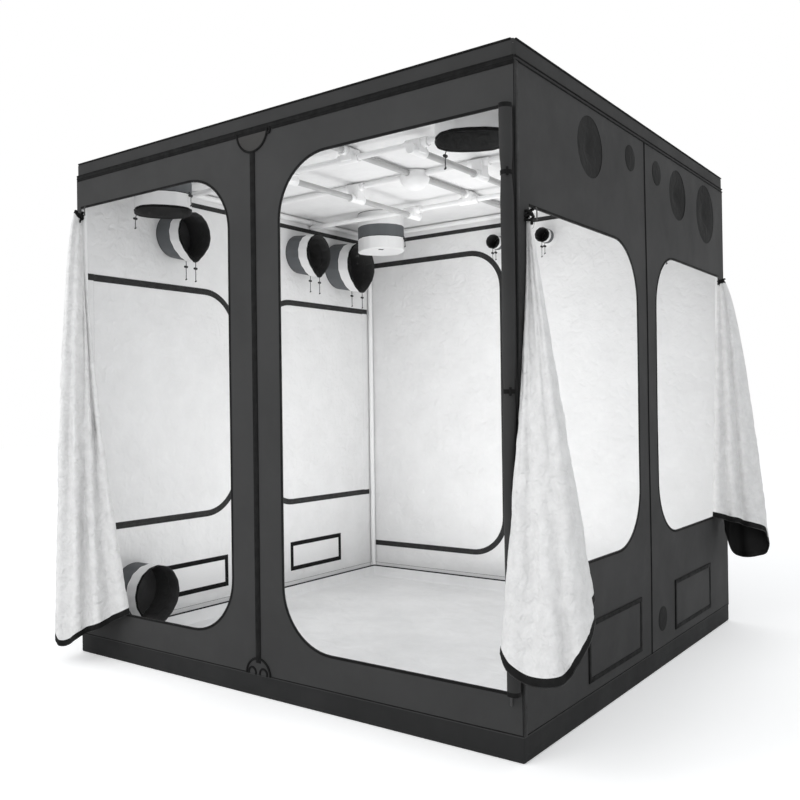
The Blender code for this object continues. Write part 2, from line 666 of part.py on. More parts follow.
def make_tee_rail(name, matrix, length, branches):
    """Make a rail along X with a fused tee at its middle for other poles."""
    bm = bmesh.new()
    rod(bm, (-length / 2, 0, 0), (1, 0, 0), length, POLE_RADIUS)
    obj = add_object(name, mesh_of(name, bm), matrix)
    bm = bmesh.new()
    rod(bm, (-TEE_SLEEVE / 2, 0, 0), (1, 0, 0), TEE_SLEEVE, CONNECTOR_RADIUS)
    combine(obj, bm, "UNION")
    for share, direction in zip(ARM_SHARES[1:], branches):
        bm = bmesh.new()
        rod(bm, (0, 0, 0), direction, TEE_BRANCH, CONNECTOR_RADIUS * share)
        combine(obj, bm, "UNION")
    bm = bmesh.new()
    rod(bm, (-length / 2 - OVERRUN, 0, 0), (1, 0, 0), length + 2 * OVERRUN, POLE_BORE)
    for direction in branches:
        start = Vector(direction) * TEE_SOCKET
        rod(bm, start, direction, TEE_BRANCH - TEE_SOCKET + OVERRUN, POLE_RADIUS + GAP)
    combine(obj, bm, "DIFFERENCE")
    return finish(obj, WHITE_PAINT, 0.35, 0.1)


def make_corner(name, matrix):
    """Make a three-way corner connector with arms along +X, +Y and +Z."""
    arms = ((1, 0, 0), (0, 1, 0), (0, 0, 1))
    obj = None
    for share, direction in zip(ARM_SHARES, arms):
        bm = bmesh.new()
        start = Vector(direction) * -CORNER_HEEL
        rod(bm, start, direction, CORNER_HEEL + CORNER_ARM, CONNECTOR_RADIUS * share)
        if obj is None:
            obj = add_object(name, mesh_of(name, bm), matrix)
        else:
            combine(obj, bm, "UNION")
    bm = bmesh.new()
    for direction in arms:
        start = Vector(direction) * SOCKET_START
        rod(bm, start, direction, CORNER_ARM - SOCKET_START + OVERRUN, POLE_RADIUS + GAP)
    combine(obj, bm, "DIFFERENCE")
    return finish(obj, WHITE_PLASTIC, 0.5)


def make_corners():
    """Make the eight corner connectors."""
    x = HALF_WIDTH - FRAME_INSET
    y = HALF_DEPTH - FRAME_INSET
    spots = (("front_left", -x, -y), ("front_right", x, -y), ("back_right", x, y), ("back_left", -x, y))
    for quarter, (place, across, along) in enumerate(spots):
        turn = Matrix.Rotation(quarter * math.pi / 2, 4, "Z")
        make_corner("base_corner_" + place, Matrix.Translation((across, along, FRAME_INSET)) @ turn)
    top_spots = (spots[3],) + spots[:3]
    for quarter, (place, across, along) in enumerate(top_spots):
        turn = Matrix.Rotation(quarter * math.pi / 2, 4, "Z") @ Matrix.Rotation(math.pi, 4, "X")
        make_corner("top_corner_" + place, Matrix.Translation((across, along, RAIL_HIGH)) @ turn)


def make_frame():
    """Make the posts, rails and corner connectors."""
    make_corners()
    x = HALF_WIDTH - FRAME_INSET
    y = HALF_DEPTH - FRAME_INSET
    end = SOCKET_START + GAP
    post = RAIL_HIGH - FRAME_INSET - 2 * end
    spots = (("front_left", -x, -y), ("front_right", x, -y), ("back_left", -x, y), ("back_right", x, y))
    for place, across, along in spots:
        make_tube("corner_post_" + place, (across, along, FRAME_INSET + end), (0, 0, 1), post)
    middle_end = TEE_SOCKET + GAP
    middle = RAIL_HIGH - FRAME_INSET - 2 * middle_end
    make_tube("middle_post_front", (0, -y, FRAME_INSET + middle_end), (0, 0, 1), middle)
    make_tube("middle_post_back", (0, y, FRAME_INSET + middle_end), (0, 0, 1), middle)
    wide = 2 * x - 2 * end
    deep = 2 * y - 2 * end
    turns = (("front", 0), ("right", 1), ("back", 2), ("left", 3))
    for place, quarter in turns:
        turn = Matrix.Rotation(quarter * math.pi / 2, 4, "Z")
        facing = quarter % 2 == 0
        length = wide if facing else deep
        top = turn @ Matrix.Translation((0, -y if facing else -x, RAIL_HIGH))
        branches = [(0, 1, 0), (0, 0, -1)] if facing else [(0, 1, 0)]
        make_tee_rail("top_rail_" + place, top, length, branches)
        base = turn @ Matrix.Translation((0, -y if facing else -x, FRAME_INSET))
        if facing:
            make_tee_rail("base_rail_" + place, base, length, [(0, 0, 1)])
        else:
            start = base @ Vector((-length / 2, 0, 0))
            make_tube("base_rail_" + place, start, (0, 1, 0) if quarter == 1 else (0, -1, 0), length)


def make_hub():
    """Make the ceiling hub: a round cover with a cross of pole sockets."""
    profile = (
        (HUB_SHOULDER_RADIUS, CONNECTOR_RADIUS),
        (HUB_RADIUS, HUB_SHOULDER),
        (HUB_RADIUS, -HUB_RIM),
        (HUB_DOME_RADIUS, -HUB_DOME),
        (HUB_TIP_RADIUS, -HUB_TIP),
    )
    bm = bmesh.new()
    loft(bm, [circle(radius, ROUND_SIDES, height) for radius, height in profile])
    obj = add_object("ceiling_hub", mesh_of("ceiling_hub", bm), Matrix.Translation((0, 0, RAIL_HIGH)))
    bm = bmesh.new()
    rod(bm, (-HUB_RADIUS - OVERRUN, 0, 0), (1, 0, 0), 2 * (HUB_RADIUS + OVERRUN), POLE_RADIUS + GAP)
    for side in (-1, 1):
        start = (0, side * TEE_SOCKET, 0)
        rod(bm, start, (0, side, 0), HUB_RADIUS - TEE_SOCKET + OVERRUN, POLE_RADIUS + GAP)
    combine(obj, bm, "DIFFERENCE")
    finish(obj, WHITE_PLASTIC, 0.5)


def make_hanging_bar(name, matrix, half, clips):
    """Make a hanging bar along X with clips that ring the poles above it."""
    bm = bmesh.new()
    rod(bm, (-half, 0, -HANG_DROP), (1, 0, 0), 2 * half, POLE_RADIUS)
    obj = add_object(name, mesh_of(name, bm), matrix)
    bm = bmesh.new()
    for x in clips:
        rod(bm, (x, -CLIP_WIDTH / 2, 0), (0, 1, 0), CLIP_WIDTH, CLIP_RADIUS)
    combine(obj, bm, "UNION")
    bm = bmesh.new()
    for x in clips:
        rod(bm, (x, -CLIP_WIDTH / 2 - OVERRUN, 0), (0, 1, 0), CLIP_WIDTH + 2 * OVERRUN, POLE_RADIUS + GAP)
    combine(obj, bm, "DIFFERENCE")
    return finish(obj, WHITE_PAINT, 0.35, 0.1)


def make_ceiling():
    """Make the hub, the bar across, its arms and the hanging bars."""
    make_hub()
    x = HALF_WIDTH - FRAME_INSET
    y = HALF_DEPTH - FRAME_INSET
    end = TEE_SOCKET + GAP
    make_tube("ceiling_bar_across", (-x + end, 0, RAIL_HIGH), (1, 0, 0), 2 * (x - end))
    make_tube("ceiling_arm_front", (0, -y + end, RAIL_HIGH), (0, 1, 0), y - 2 * end)
    make_tube("ceiling_arm_back", (0, end, RAIL_HIGH), (0, 1, 0), y - 2 * end)
    for place, side in (("front", -1), ("back", 1)):
        matrix = Matrix.Translation((0, side * HANG_OFFSET, RAIL_HIGH))
        make_hanging_bar("hanging_bar_" + place, matrix, x, (-x, 0, x))
    quarter = Matrix.Rotation(math.pi / 2, 4, "Z")
    for place, side in (("left", -1), ("right", 1)):
        matrix = Matrix.Translation((side * HANG_SIDE, 0, RAIL_HIGH - HANG_DROP)) @ quarter
        make_hanging_bar("hanging_bar_" + place, matrix, HANG_OFFSET, (-HANG_OFFSET, HANG_OFFSET))


def side_sleeve(name, share, high, radius, length):
    """Return a side sleeve's name, place along its wall, height, radius and length."""
    return (name, share * HALF_DEPTH, high, radius, length)


SMALL_SLEEVE = (SLEEVE_SMALL_RADIUS, SLEEVE_SMALL_LENGTH)
LARGE_SLEEVE = (SLEEVE_LARGE_RADIUS, SLEEVE_LARGE_LENGTH)
LOW_SLEEVE = (SLEEVE_LOW_RADIUS, SLEEVE_LOW_LENGTH)
RIGHT_SLEEVES = tuple(
    side_sleeve("right_sleeve_" + name, share, TENT_HEIGHT - drop, *size)
    for name, share, drop, size in zip(
        ("front", "middle", "rear"), RIGHT_SLEEVE_SHARES,
        (RIGHT_SLEEVE_DROP, RIGHT_SLEEVE_DROP, RIGHT_SLEEVE_REAR_DROP),
        (SMALL_SLEEVE, SMALL_SLEEVE, LARGE_SLEEVE)))
LEFT_SLEEVES = tuple(
    side_sleeve("left_sleeve_" + name, share, high, *size)
    for name, share, high, size in zip(
        ("front", "middle", "rear", "low"), LEFT_SLEEVE_SHARES,
        (TENT_HEIGHT - LEFT_SLEEVE_DROP, TENT_HEIGHT - LEFT_SLEEVE_MIDDLE_DROP,
         TENT_HEIGHT - LEFT_SLEEVE_DROP, LEFT_SLEEVE_LOW),
        (SMALL_SLEEVE, SMALL_SLEEVE, LARGE_SLEEVE, LOW_SLEEVE)))
ROOF_SLEEVES = tuple(
    ("roof_sleeve_" + name, across * HALF_WIDTH, along * HALF_DEPTH)
    for name, (across, along) in zip(("front_left", "front_right", "rear"), ROOF_SLEEVE_SHARES))


def main():
    """Build the tent."""
    clear_scene()
    make_roof()
    make_walls()
    make_floor()
    make_panels()
    make_vent_flap("vent_flap_right_front", RIGHT_TURN, RIGHT_VENT_FRONT)
    make_vent_flap("vent_flap_right_rear", RIGHT_TURN, RIGHT_VENT_REAR)
    make_vent_flap("vent_flap_left_front", LEFT_TURN, -LEFT_VENT_FRONT)
    make_vent_flap("vent_flap_left_rear", LEFT_TURN, -LEFT_VENT_REAR)
    make_sleeves()
    make_frame()
    make_ceiling()


main()
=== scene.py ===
"""Indoor grow tent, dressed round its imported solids.

The cover's cloth, zips, seams, duct sleeves and drawcords are made here. The poles,
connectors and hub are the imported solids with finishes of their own. Lengths are in
metres. A wall is drawn in wall coordinates, x to the right seen from outside, y
inward from its outer face and z up, and is then set in its place.
"""

from __future__ import annotations

import logging
import math
from contextlib import contextmanager
from dataclasses import dataclass
from enum import Enum
from functools import cache
from typing import Callable, Iterator, Sequence

import bmesh
import bpy
from mathutils import Matrix, Vector, noise


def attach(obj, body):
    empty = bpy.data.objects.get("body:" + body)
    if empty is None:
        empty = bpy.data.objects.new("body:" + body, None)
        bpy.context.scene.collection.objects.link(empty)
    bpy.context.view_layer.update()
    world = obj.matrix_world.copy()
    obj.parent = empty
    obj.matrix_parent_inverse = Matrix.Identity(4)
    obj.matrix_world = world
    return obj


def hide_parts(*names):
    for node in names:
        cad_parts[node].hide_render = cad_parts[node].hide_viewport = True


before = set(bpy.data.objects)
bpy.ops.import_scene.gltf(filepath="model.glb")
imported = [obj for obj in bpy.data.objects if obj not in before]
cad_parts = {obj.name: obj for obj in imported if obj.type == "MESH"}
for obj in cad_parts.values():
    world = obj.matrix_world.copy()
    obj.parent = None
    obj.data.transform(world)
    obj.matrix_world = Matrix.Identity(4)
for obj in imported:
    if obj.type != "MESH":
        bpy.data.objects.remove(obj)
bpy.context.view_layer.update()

LOG = logging.getLogger("grow_tent")

Obj = bpy.types.Object
Face = bpy.types.MeshPolygon
Tree = bpy.types.NodeTree
Node = bpy.types.Node
Socket = bpy.types.NodeSocket
Sockets = bpy.types.bpy_prop_collection
Material = bpy.types.Material
Flat = Sequence[tuple[float, float]]
Points = list[tuple[float, float]]

# The tent: half its width, its height, its cloth's thickness, the foot of the roof's
# skirt and the top of the base's band
HALF = 1.0
HEIGHT = 2.0
CLOTH = 0.0015
SKIRT_LOW = 1.935
BAND_HIGH = 0.075

# Sewing: the gap round a closed panel, a hem's width, how far a cutting tool reaches each
# way, the sharpest mitre of a strip, and how far the cloth bulges and puckers
GAP = 0.0003
HEM = 0.015
CUT = 0.02
MITRE = 0.4
BULGE = 0.0035
PUCKER = 0.0005

DOWN = Vector((0, 0, -1))
BODY = "tent"


class Side(Enum):
    """The four walls, by quarter turns from the front."""

    FRONT = 0
    RIGHT = 1
    BACK = 2
    LEFT = 3

    @property
    def posted(self) -> bool:
        """Say whether the wall has a post at its middle."""
        return self in (Side.FRONT, Side.BACK)

    @property
    def label(self) -> str:
        """Return the wall's name as it stands in the names of pieces."""
        return self.name.lower()

    @property
    def cloth(self) -> str:
        """Return the name of the wall's cloth."""
        return self.label + "_wall_cloth"

    def matrix(self) -> Matrix:
        """Return the matrix from wall coordinates to the tent's."""
        return Matrix.Rotation(self.value * math.pi / 2, 4, "Z") @ Matrix.Translation((0, -HALF, 0))

    def slack(self, x: float, z: float) -> float:
        """Return how far the cloth stands out from its plane.

        Args:
            x: Place along the wall.
            z: Height.

        Returns:
            The outward bulge, nought along the poles.
        """
        if not (-HALF < x < HALF and 0 < z < HEIGHT):
            return 0.0
        across = abs(math.sin(math.pi * x)) if self.posted else math.cos(math.pi * x / 2)
        wave = 1 + 0.45 * math.sin(7.3 * x + 1.7 * self.value + 1.9 * z) + 0.35 * math.sin(5.6 * z - 3.1 * x)
        pucker = math.sin(88 * x + 4 * math.sin(9 * z)) * math.exp(-abs(z - SKIRT_LOW) / 0.05)
        bulge = across * math.sin(math.pi * z / HEIGHT) * BULGE * max(wave, 0.0)
        return bulge + PUCKER * across * pucker


class Weave(Enum):
    """How coarse a cloth's threads are, in threads per metre."""

    COARSE = 900.0
    FINE = 1600.0
    FILM = 2600.0


# Shader nodes and the groups that finishes share


def wire(tree: Tree, kind: str, inputs: dict[str | int, object], **settings: str) -> Node:
    """Add a shader node and feed it.

    Args:
        tree: The tree that it goes in.
        kind: The node's type, without the words that every type starts with.
        inputs: By name or number, an input's value or the socket that it comes from.
        settings: The node's own settings.

    Returns:
        The node.
    """
    node = tree.nodes.new("ShaderNode" + kind)
    for name, value in settings.items():
        setattr(node, name, value)
    for place, value in inputs.items():
        if isinstance(value, Socket):
            tree.links.new(value, node.inputs[place])
        else:
            node.inputs[place].default_value = value
    return node


def maths(tree: Tree, operation: str, *inputs: Socket | float) -> Socket:
    """Add a Math node on sockets or numbers and return its output."""
    return wire(tree, "Math", dict(enumerate(inputs)), operation=operation).outputs[0]


class Groups:
    """The shader node groups, each made when it is first asked for."""

    @staticmethod
    def start(name: str, inputs: dict[str, object], outputs: Sequence[str]) -> tuple[Tree, Sockets, Sockets]:
        """Make an empty node group that is fed a vector.

        Args:
            name: The group's name.
            inputs: Its other inputs' values, a colour where four numbers stand together.
            outputs: The names of its outputs, a colour where it is called Color.

        Returns:
            The tree, the sockets that bring its inputs and those that take its outputs.
        """
        tree = bpy.data.node_groups.new(name, "ShaderNodeTree")
        tree.interface.new_socket("Vector", in_out="INPUT", socket_type="NodeSocketVector")
        for label, value in inputs.items():
            kind = "NodeSocketColor" if isinstance(value, tuple) else "NodeSocketFloat"
            tree.interface.new_socket(label, in_out="INPUT", socket_type=kind).default_value = value
        for label in outputs:
            kind = "NodeSocketColor" if label == "Color" else "NodeSocketFloat"
            tree.interface.new_socket(label, in_out="OUTPUT", socket_type=kind)
        return tree, tree.nodes.new("NodeGroupInput").outputs, tree.nodes.new("NodeGroupOutput").inputs

    @staticmethod
    @cache
    def weave() -> Tree:
        """Return the group of crossing threads, as a height."""
        tree, given, out = Groups.start("crossing_threads", {"Threads": 900.0}, ["Height"])
        parts = wire(tree, "SeparateXYZ", {0: given["Vector"]})
        total = 0.0
        for axis in parts.outputs:
            turned = maths(tree, "MULTIPLY", axis, given["Threads"])
            wave = maths(tree, "SINE", maths(tree, "MULTIPLY", turned, math.pi))
            total = maths(tree, "ADD", total, wave)
        tree.links.new(maths(tree, "MULTIPLY", total, 0.33), out["Height"])
        return tree

    @staticmethod
    @cache
    def creases() -> Tree:
        """Return the group of soft folds and sharp creases, as a height."""
        tree, given, out = Groups.start("soft_creases", {"Size": 6.0}, ["Height"])
        soft = wire(tree, "TexNoise", {"Vector": given["Vector"], "Scale": given["Size"], "Detail": 3.0,
                                       "Roughness": 0.45, "Distortion": 0.6})
        finer = maths(tree, "MULTIPLY", given["Size"], 1.7)
        sharp = wire(tree, "TexNoise", {"Vector": given["Vector"], "Scale": finer, "Detail": 4.0,
                                        "Roughness": 0.55}, noise_type="RIDGED_MULTIFRACTAL")
        ridge = maths(tree, "MULTIPLY", sharp.outputs["Fac"], 0.22)
        tree.links.new(maths(tree, "ADD", soft.outputs["Fac"], ridge), out["Height"])
        return tree

    @staticmethod
    @cache
    def mottle() -> Tree:
        """Return the group that varies a colour in soft patches."""
        inputs = {"Light": (1, 1, 1, 1), "Dark": (0, 0, 0, 1), "Size": 5.0}
        tree, given, out = Groups.start("soft_patches", inputs, ["Color", "Mask"])
        patches = wire(tree, "TexNoise", {"Vector": given["Vector"], "Scale": given["Size"], "Detail": 5.0,
                                          "Roughness": 0.6})
        mask = spread(tree, patches.outputs["Fac"], 0.36, 0.66)
        tree.links.new(blended(tree, mask, given["Light"], given["Dark"]), out["Color"])
        tree.links.new(mask, out["Mask"])
        return tree

    @staticmethod
    @cache
    def ribs() -> Tree:
        """Return the group of fine ribs across a strip, along its own U."""
        tree, given, out = Groups.start("cross_ribs", {"Pitch": 0.004}, ["Height"])
        parts = wire(tree, "SeparateXYZ", {0: given["Vector"]})
        count = maths(tree, "DIVIDE", parts.outputs[0], given["Pitch"])
        wave = maths(tree, "SINE", maths(tree, "MULTIPLY", count, 2 * math.pi))
        tree.links.new(maths(tree, "MULTIPLY_ADD", wave, 0.5, 0.5), out["Height"])
        return tree


def spread(tree: Tree, value: Socket, low: float, high: float) -> Socket:
    """Spread a value from low and high to nought and one."""
    return wire(tree, "MapRange", {"Value": value, "From Min": low, "From Max": high}).outputs["Result"]


def blended(tree: Tree, mask: Socket, first: object, second: object) -> Socket:
    """Blend from the first colour to the second by a mask."""
    return wire(tree, "Mix", {"Factor": mask, 6: first, 7: second}, data_type="RGBA").outputs[2]


# Finishes


class Painter:
    """One material in the making: its tree, shader and coordinates."""

    def __init__(self, name: str, roughness: float) -> None:
        """Start a material with a Principled shader."""
        self.made = bpy.data.materials.new(name)
        self.made.use_nodes = True
        self.tree = self.made.node_tree
        self.inputs = self.tree.nodes["Principled BSDF"].inputs
        self.roughness = roughness
        self.inputs["Roughness"].default_value = roughness
        self.place = wire(self.tree, "TexCoord", {}).outputs
        self.normal = None

    def group(self, tree: Tree, vector: Socket, **values: object) -> Sockets:
        """Place one of the shared groups, fed by a vector and its own values."""
        node = self.tree.nodes.new("ShaderNodeGroup")
        node.node_tree = tree
        self.tree.links.new(vector, node.inputs["Vector"])
        for label, value in values.items():
            node.inputs[label].default_value = value
        return node.outputs

    def relief(self, height: Socket, distance: float, strength: float = 1.0) -> None:
        """Add a Bump node on top of what is there."""
        inputs = {"Strength": strength, "Distance": distance, "Height": height}
        if self.normal is not None:
            inputs["Normal"] = self.normal
        self.normal = wire(self.tree, "Bump", inputs).outputs["Normal"]
        self.tree.links.new(self.normal, self.inputs["Normal"])

    def tones(self, light: tuple, dark: tuple, size: float, below: float, above: float) -> None:
        """Vary the colour between two tones in soft patches, and the roughness with it."""
        patches = self.group(Groups.mottle(), self.place["Object"], Light=light, Dark=dark, Size=size)
        self.colour(patches["Color"])
        ends = {"Value": patches["Mask"], "To Min": self.roughness - below, "To Max": self.roughness + above}
        self.tree.links.new(wire(self.tree, "MapRange", ends).outputs["Result"], self.inputs["Roughness"])

    def colour(self, socket: Socket) -> None:
        """Feed the base colour."""
        self.tree.links.new(socket, self.inputs["Base Color"])


def grey(value: float, warmth: float = 0.0) -> tuple[float, float, float, float]:
    """Return a grey with a little warmth, or coolness where it is negative."""
    return (value * (1 + warmth), value, value * (1 - warmth), 1.0)


@dataclass(frozen=True)
class ClothFinish:
    """Woven or coated cloth: threads, soft creases and patches of tone."""

    name: str
    light: float
    dark: float
    roughness: float
    weave: Weave
    warmth: float = 0.0
    patch: float = 3.0
    crease: float = 5.0
    depth: float = 0.004
    threads: float = 0.00025
    specular: float = 0.5

    def material(self) -> Material:
        """Make the material."""
        paint = Painter(self.name, self.roughness)
        paint.inputs["Specular IOR Level"].default_value = self.specular
        paint.tones(grey(self.light, self.warmth), grey(self.dark, self.warmth), self.patch, 0.06, 0.07)
        folds = paint.group(Groups.creases(), paint.place["Object"], Size=self.crease)
        paint.relief(folds["Height"], self.depth)
        threads = paint.group(Groups.weave(), paint.place["Object"], Threads=self.weave.value)
        paint.relief(threads["Height"], self.threads, 0.5)
        return paint.made


@dataclass(frozen=True)
class StripFinish:
    """Webbing, binding or zip chain, ribbed across its length."""

    name: str
    light: float
    dark: float
    roughness: float
    pitch: float
    depth: float
    specular: float = 0.2

    def material(self) -> Material:
        """Make the material."""
        paint = Painter(self.name, self.roughness)
        paint.inputs["Specular IOR Level"].default_value = self.specular
        paint.tones(grey(self.light), grey(self.dark), 30.0, 0.08, 0.08)
        ribs = paint.group(Groups.ribs(), paint.place["UV"], Pitch=self.pitch)
        paint.relief(ribs["Height"], self.depth)
        return paint.made


@dataclass(frozen=True)
class HardFinish:
    """Painted steel or moulded plastic, with faint dust and orange peel."""

    name: str
    light: float
    dark: float
    roughness: float
    coat: float = 0.0
    grain: float = 90.0
    depth: float = 0.0002

    def material(self) -> Material:
        """Make the material."""
        paint = Painter(self.name, self.roughness)
        paint.inputs["Coat Weight"].default_value = self.coat
        paint.tones(grey(self.light), grey(self.dark), 14.0, 0.05, 0.1)
        peel = paint.group(Groups.creases(), paint.place["Object"], Size=self.grain)
        paint.relief(peel["Height"], self.depth, 0.6)
        return paint.made


@dataclass(frozen=True)
class NetFinish:
    """The vents' fine netting, light threads over dark holes."""

    name: str
    thread: float
    hole: float
    pitch: float
    roughness: float = 0.7
    depth: float = 0.0005

    def material(self) -> Material:
        """Make the material."""
        paint = Painter(self.name, self.roughness)
        mesh = paint.group(Groups.weave(), paint.place["Object"], Threads=1 / self.pitch)
        mask = spread(paint.tree, mesh["Height"], -0.5, 0.1)
        paint.colour(blended(paint.tree, mask, grey(self.hole), grey(self.thread)))
        paint.relief(mesh["Height"], self.depth)
        return paint.made


class Finishes:
    """Every finish of the tent, made once."""

    recipes = (
        ClothFinish("outer_canvas", 0.044, 0.0395, 0.78, Weave.COARSE, specular=0.2),
        ClothFinish("roof_canvas", 0.036, 0.032, 0.8, Weave.COARSE, specular=0.2),
        ClothFinish("base_canvas", 0.024, 0.019, 0.8, Weave.COARSE, -0.01, specular=0.2),
        ClothFinish("cover_canvas", 0.024, 0.018, 0.85, Weave.COARSE, crease=22, depth=0.006, specular=0.12),
        ClothFinish("patch_canvas", 0.046, 0.038, 0.8, Weave.COARSE, 0.03, specular=0.22),
        ClothFinish("white_lining", 0.80, 0.76, 0.5, Weave.FINE, 0.0, 7, 24, 0.006, specular=0.35),
        # The roof's lining: the white lining set a little lighter, as painted light for the brighter ceiling.
        ClothFinish("roof_lining", 0.83, 0.78, 0.5, Weave.FINE, 0.0, 6, 12, 0.005, specular=0.35),
        # The flaps' lining: the white lining set darker, as painted shade on the hanging flaps; its soft
        # patches are random tone.
        ClothFinish("flap_lining", 0.73, 0.65, 0.55, Weave.FINE, 0.004, 30, 38, 0.009, specular=0.35),
        # The flaps' outside: the outer canvas made near black, as painted shade on their shaded outer face.
        ClothFinish("flap_outside", 0.016, 0.011, 0.85, Weave.COARSE, specular=0.1),
        ClothFinish("tray_film", 0.86, 0.77, 0.42, Weave.FILM, -0.003, crease=8, depth=0.012),
        ClothFinish("duct_grey", 0.125, 0.105, 0.7, Weave.FINE, -0.05, crease=25, depth=0.002, specular=0.3),
        ClothFinish("duct_white", 0.82, 0.77, 0.6, Weave.FINE, crease=25, depth=0.002),
        ClothFinish("duct_inside", 0.065, 0.038, 0.7, Weave.FINE, crease=30, depth=0.006, specular=0.4),
        StripFinish("black_binding", 0.010, 0.007, 0.75, 0.0022, 0.0001, specular=0.12),
        StripFinish("zip_tape", 0.036, 0.028, 0.72, 0.0016, 0.0002),
        StripFinish("zip_teeth", 0.016, 0.010, 0.45, 0.0025, 0.0010, specular=0.35),
        StripFinish("cord_braid", 0.020, 0.012, 0.65, 0.0016, 0.0003),
        HardFinish("white_steel", 0.87, 0.85, 0.34, coat=0.25),
        # The darker steel: the white steel darkened, as painted shade on the ceiling arm and hanging bars.
        HardFinish("grey_steel", 0.46, 0.42, 0.4),
        HardFinish("white_plastic", 0.90, 0.88, 0.42),
        HardFinish("black_plastic", 0.018, 0.012, 0.42),
        HardFinish("dark_metal", 0.030, 0.018, 0.45),
        NetFinish("vent_net", 0.86, 0.66, 0.0018),
    )

    def __init__(self) -> None:
        """Make the materials."""
        self.made = {recipe.name: recipe.material() for recipe in self.recipes}

    def __getitem__(self, name: str) -> Material:
        """Return a finish by its name."""
        return self.made[name]


# Modelling moves


class Shop:
    """Modelling moves that every sub-assembly uses."""

    finishes: Finishes

    @staticmethod
    def clear() -> None:
        """Deselect everything."""
        bpy.ops.object.select_all(action="DESELECT")

    @staticmethod
    def focus(obj: Obj) -> None:
        """Select one object and make it active."""
        Shop.clear()
        obj.select_set(True)
        bpy.context.view_layer.objects.active = obj

    @staticmethod
    def solid(add: Callable, **values: object) -> Obj:
        """Add a primitive with everything else deselected, and put its place into its mesh."""
        Shop.clear()
        add(**values)
        return Shop.own(bpy.context.object)

    @staticmethod
    @contextmanager
    def editing(obj: Obj, chosen: Callable[[bmesh.types.BMFace], bool] | None = None) -> Iterator[None]:
        """Open an object in edit mode for the moves that follow.

        Args:
            obj: The object.
            chosen: A rule that picks the faces to select, or None for the selection as it is.

        Returns:
            The context in which the object is open.
        """
        Shop.focus(obj)
        bpy.ops.object.mode_set(mode="EDIT")
        if chosen is not None:
            bpy.ops.mesh.select_all(action="DESELECT")
            bm = bmesh.from_edit_mesh(obj.data)
            for face in bm.faces:
                face.select = chosen(face)
            bmesh.update_edit_mesh(obj.data)
        yield
        bpy.ops.object.mode_set(mode="OBJECT")

    @staticmethod
    def link(name: str, bm: bmesh.types.BMesh) -> Obj:
        """Turn a bmesh into an object at the origin."""
        mesh = bpy.data.meshes.new(name)
        bm.to_mesh(mesh)
        bm.free()
        obj = bpy.data.objects.new(name, mesh)
        bpy.context.scene.collection.objects.link(obj)
        return obj

    @staticmethod
    def rows(name: str, rows: Sequence[Sequence[Vector]], ring: bool = False, flip: bool = False) -> Obj:
        """Skin rows of points into a sheet.

        Args:
            name: The object's name.
            rows: Rows of points, all of one length.
            ring: Whether each row closes on itself.
            flip: Whether the faces look the other way.

        Returns:
            The sheet, with a UV map in metres.
        """
        bm = bmesh.new()
        layer = bm.loops.layers.uv.new("Path")
        verts = [[bm.verts.new(point) for point in row] for row in rows]
        count = len(rows[0])
        down = [0.0]
        for before, after in zip(rows, rows[1:]):
            down.append(down[-1] + (after[count // 2] - before[count // 2]).length)
        for line in range(len(rows) - 1):
            across = 0.0
            for step in range(count if ring else count - 1):
                following = (step + 1) % count
                length = (rows[line][following] - rows[line][step]).length
                corners = (
                    (verts[line][step], down[line], across),
                    (verts[line][following], down[line], across + length),
                    (verts[line + 1][following], down[line + 1], across + length),
                    (verts[line + 1][step], down[line + 1], across),
                )
                across += length
                if flip:
                    corners = tuple(reversed(corners))
                face = bm.faces.new([corner[0] for corner in corners])
                for loop, corner in zip(face.loops, corners):
                    loop[layer].uv = corner[1:]
        return Shop.link(name, bm)

    @staticmethod
    def seal(obj: Obj, cap: int = 0, weld: bool = True) -> Obj:
        """Close a skinned piece and turn its faces outward.

        Args:
            obj: The piece.
            cap: How many of its first points bound the face that closes it, or 0 to fill every hole.
            weld: Whether points in one place are merged first.

        Returns:
            The piece.
        """
        bm = bmesh.new()
        bm.from_mesh(obj.data)
        if weld:
            bmesh.ops.remove_doubles(bm, verts=bm.verts, dist=1e-6)
        if cap:
            bm.verts.ensure_lookup_table()
            bm.faces.new(bm.verts[:cap])
        else:
            bmesh.ops.holes_fill(bm, edges=bm.edges)
        bmesh.ops.recalc_face_normals(bm, faces=bm.faces)
        bm.to_mesh(obj.data)
        bm.free()
        return obj

    @staticmethod
    def outward(obj: Obj, faces: int | None = None) -> None:
        """Turn a sheet round unless its first faces look out of the wall."""
        if sum(face.normal.y for face in obj.data.polygons[:faces]) > 0:
            obj.data.flip_normals()

    @staticmethod
    def sweep(name: str, path: Flat, section: Flat, sign: int = 1, closed: bool = False) -> Obj:
        """Run a cross-section along a path in the wall's plane.

        Args:
            name: The object's name.
            path: Points (x, z).
            section: Points (distance to the path's left, depth).
            sign: 1, or -1 to offset to the right.
            closed: Whether the path is a loop.

        Returns:
            A closed solid strip in wall coordinates.
        """
        rings = []
        count = len(path)
        for index, (x, z) in enumerate(path):
            before = path[(index - 1) % count] if closed or index else None
            after = path[(index + 1) % count] if closed or index < count - 1 else None
            ways = []
            if before is not None:
                ways.append(Vector((x - before[0], z - before[1])).normalized())
            if after is not None:
                ways.append(Vector((after[0] - x, after[1] - z)).normalized())
            mean = sum(ways, Vector((0, 0))).normalized()
            reach = 1 / max(MITRE, mean.dot(ways[0]))
            left = Vector((-mean.y, mean.x)) * sign * reach
            rings.append([Vector((x + left.x * away, depth, z + left.y * away)) for away, depth in section])
        if closed:
            rings.append(rings[0])
        return Shop.seal(Shop.rows(name, rings, ring=True))

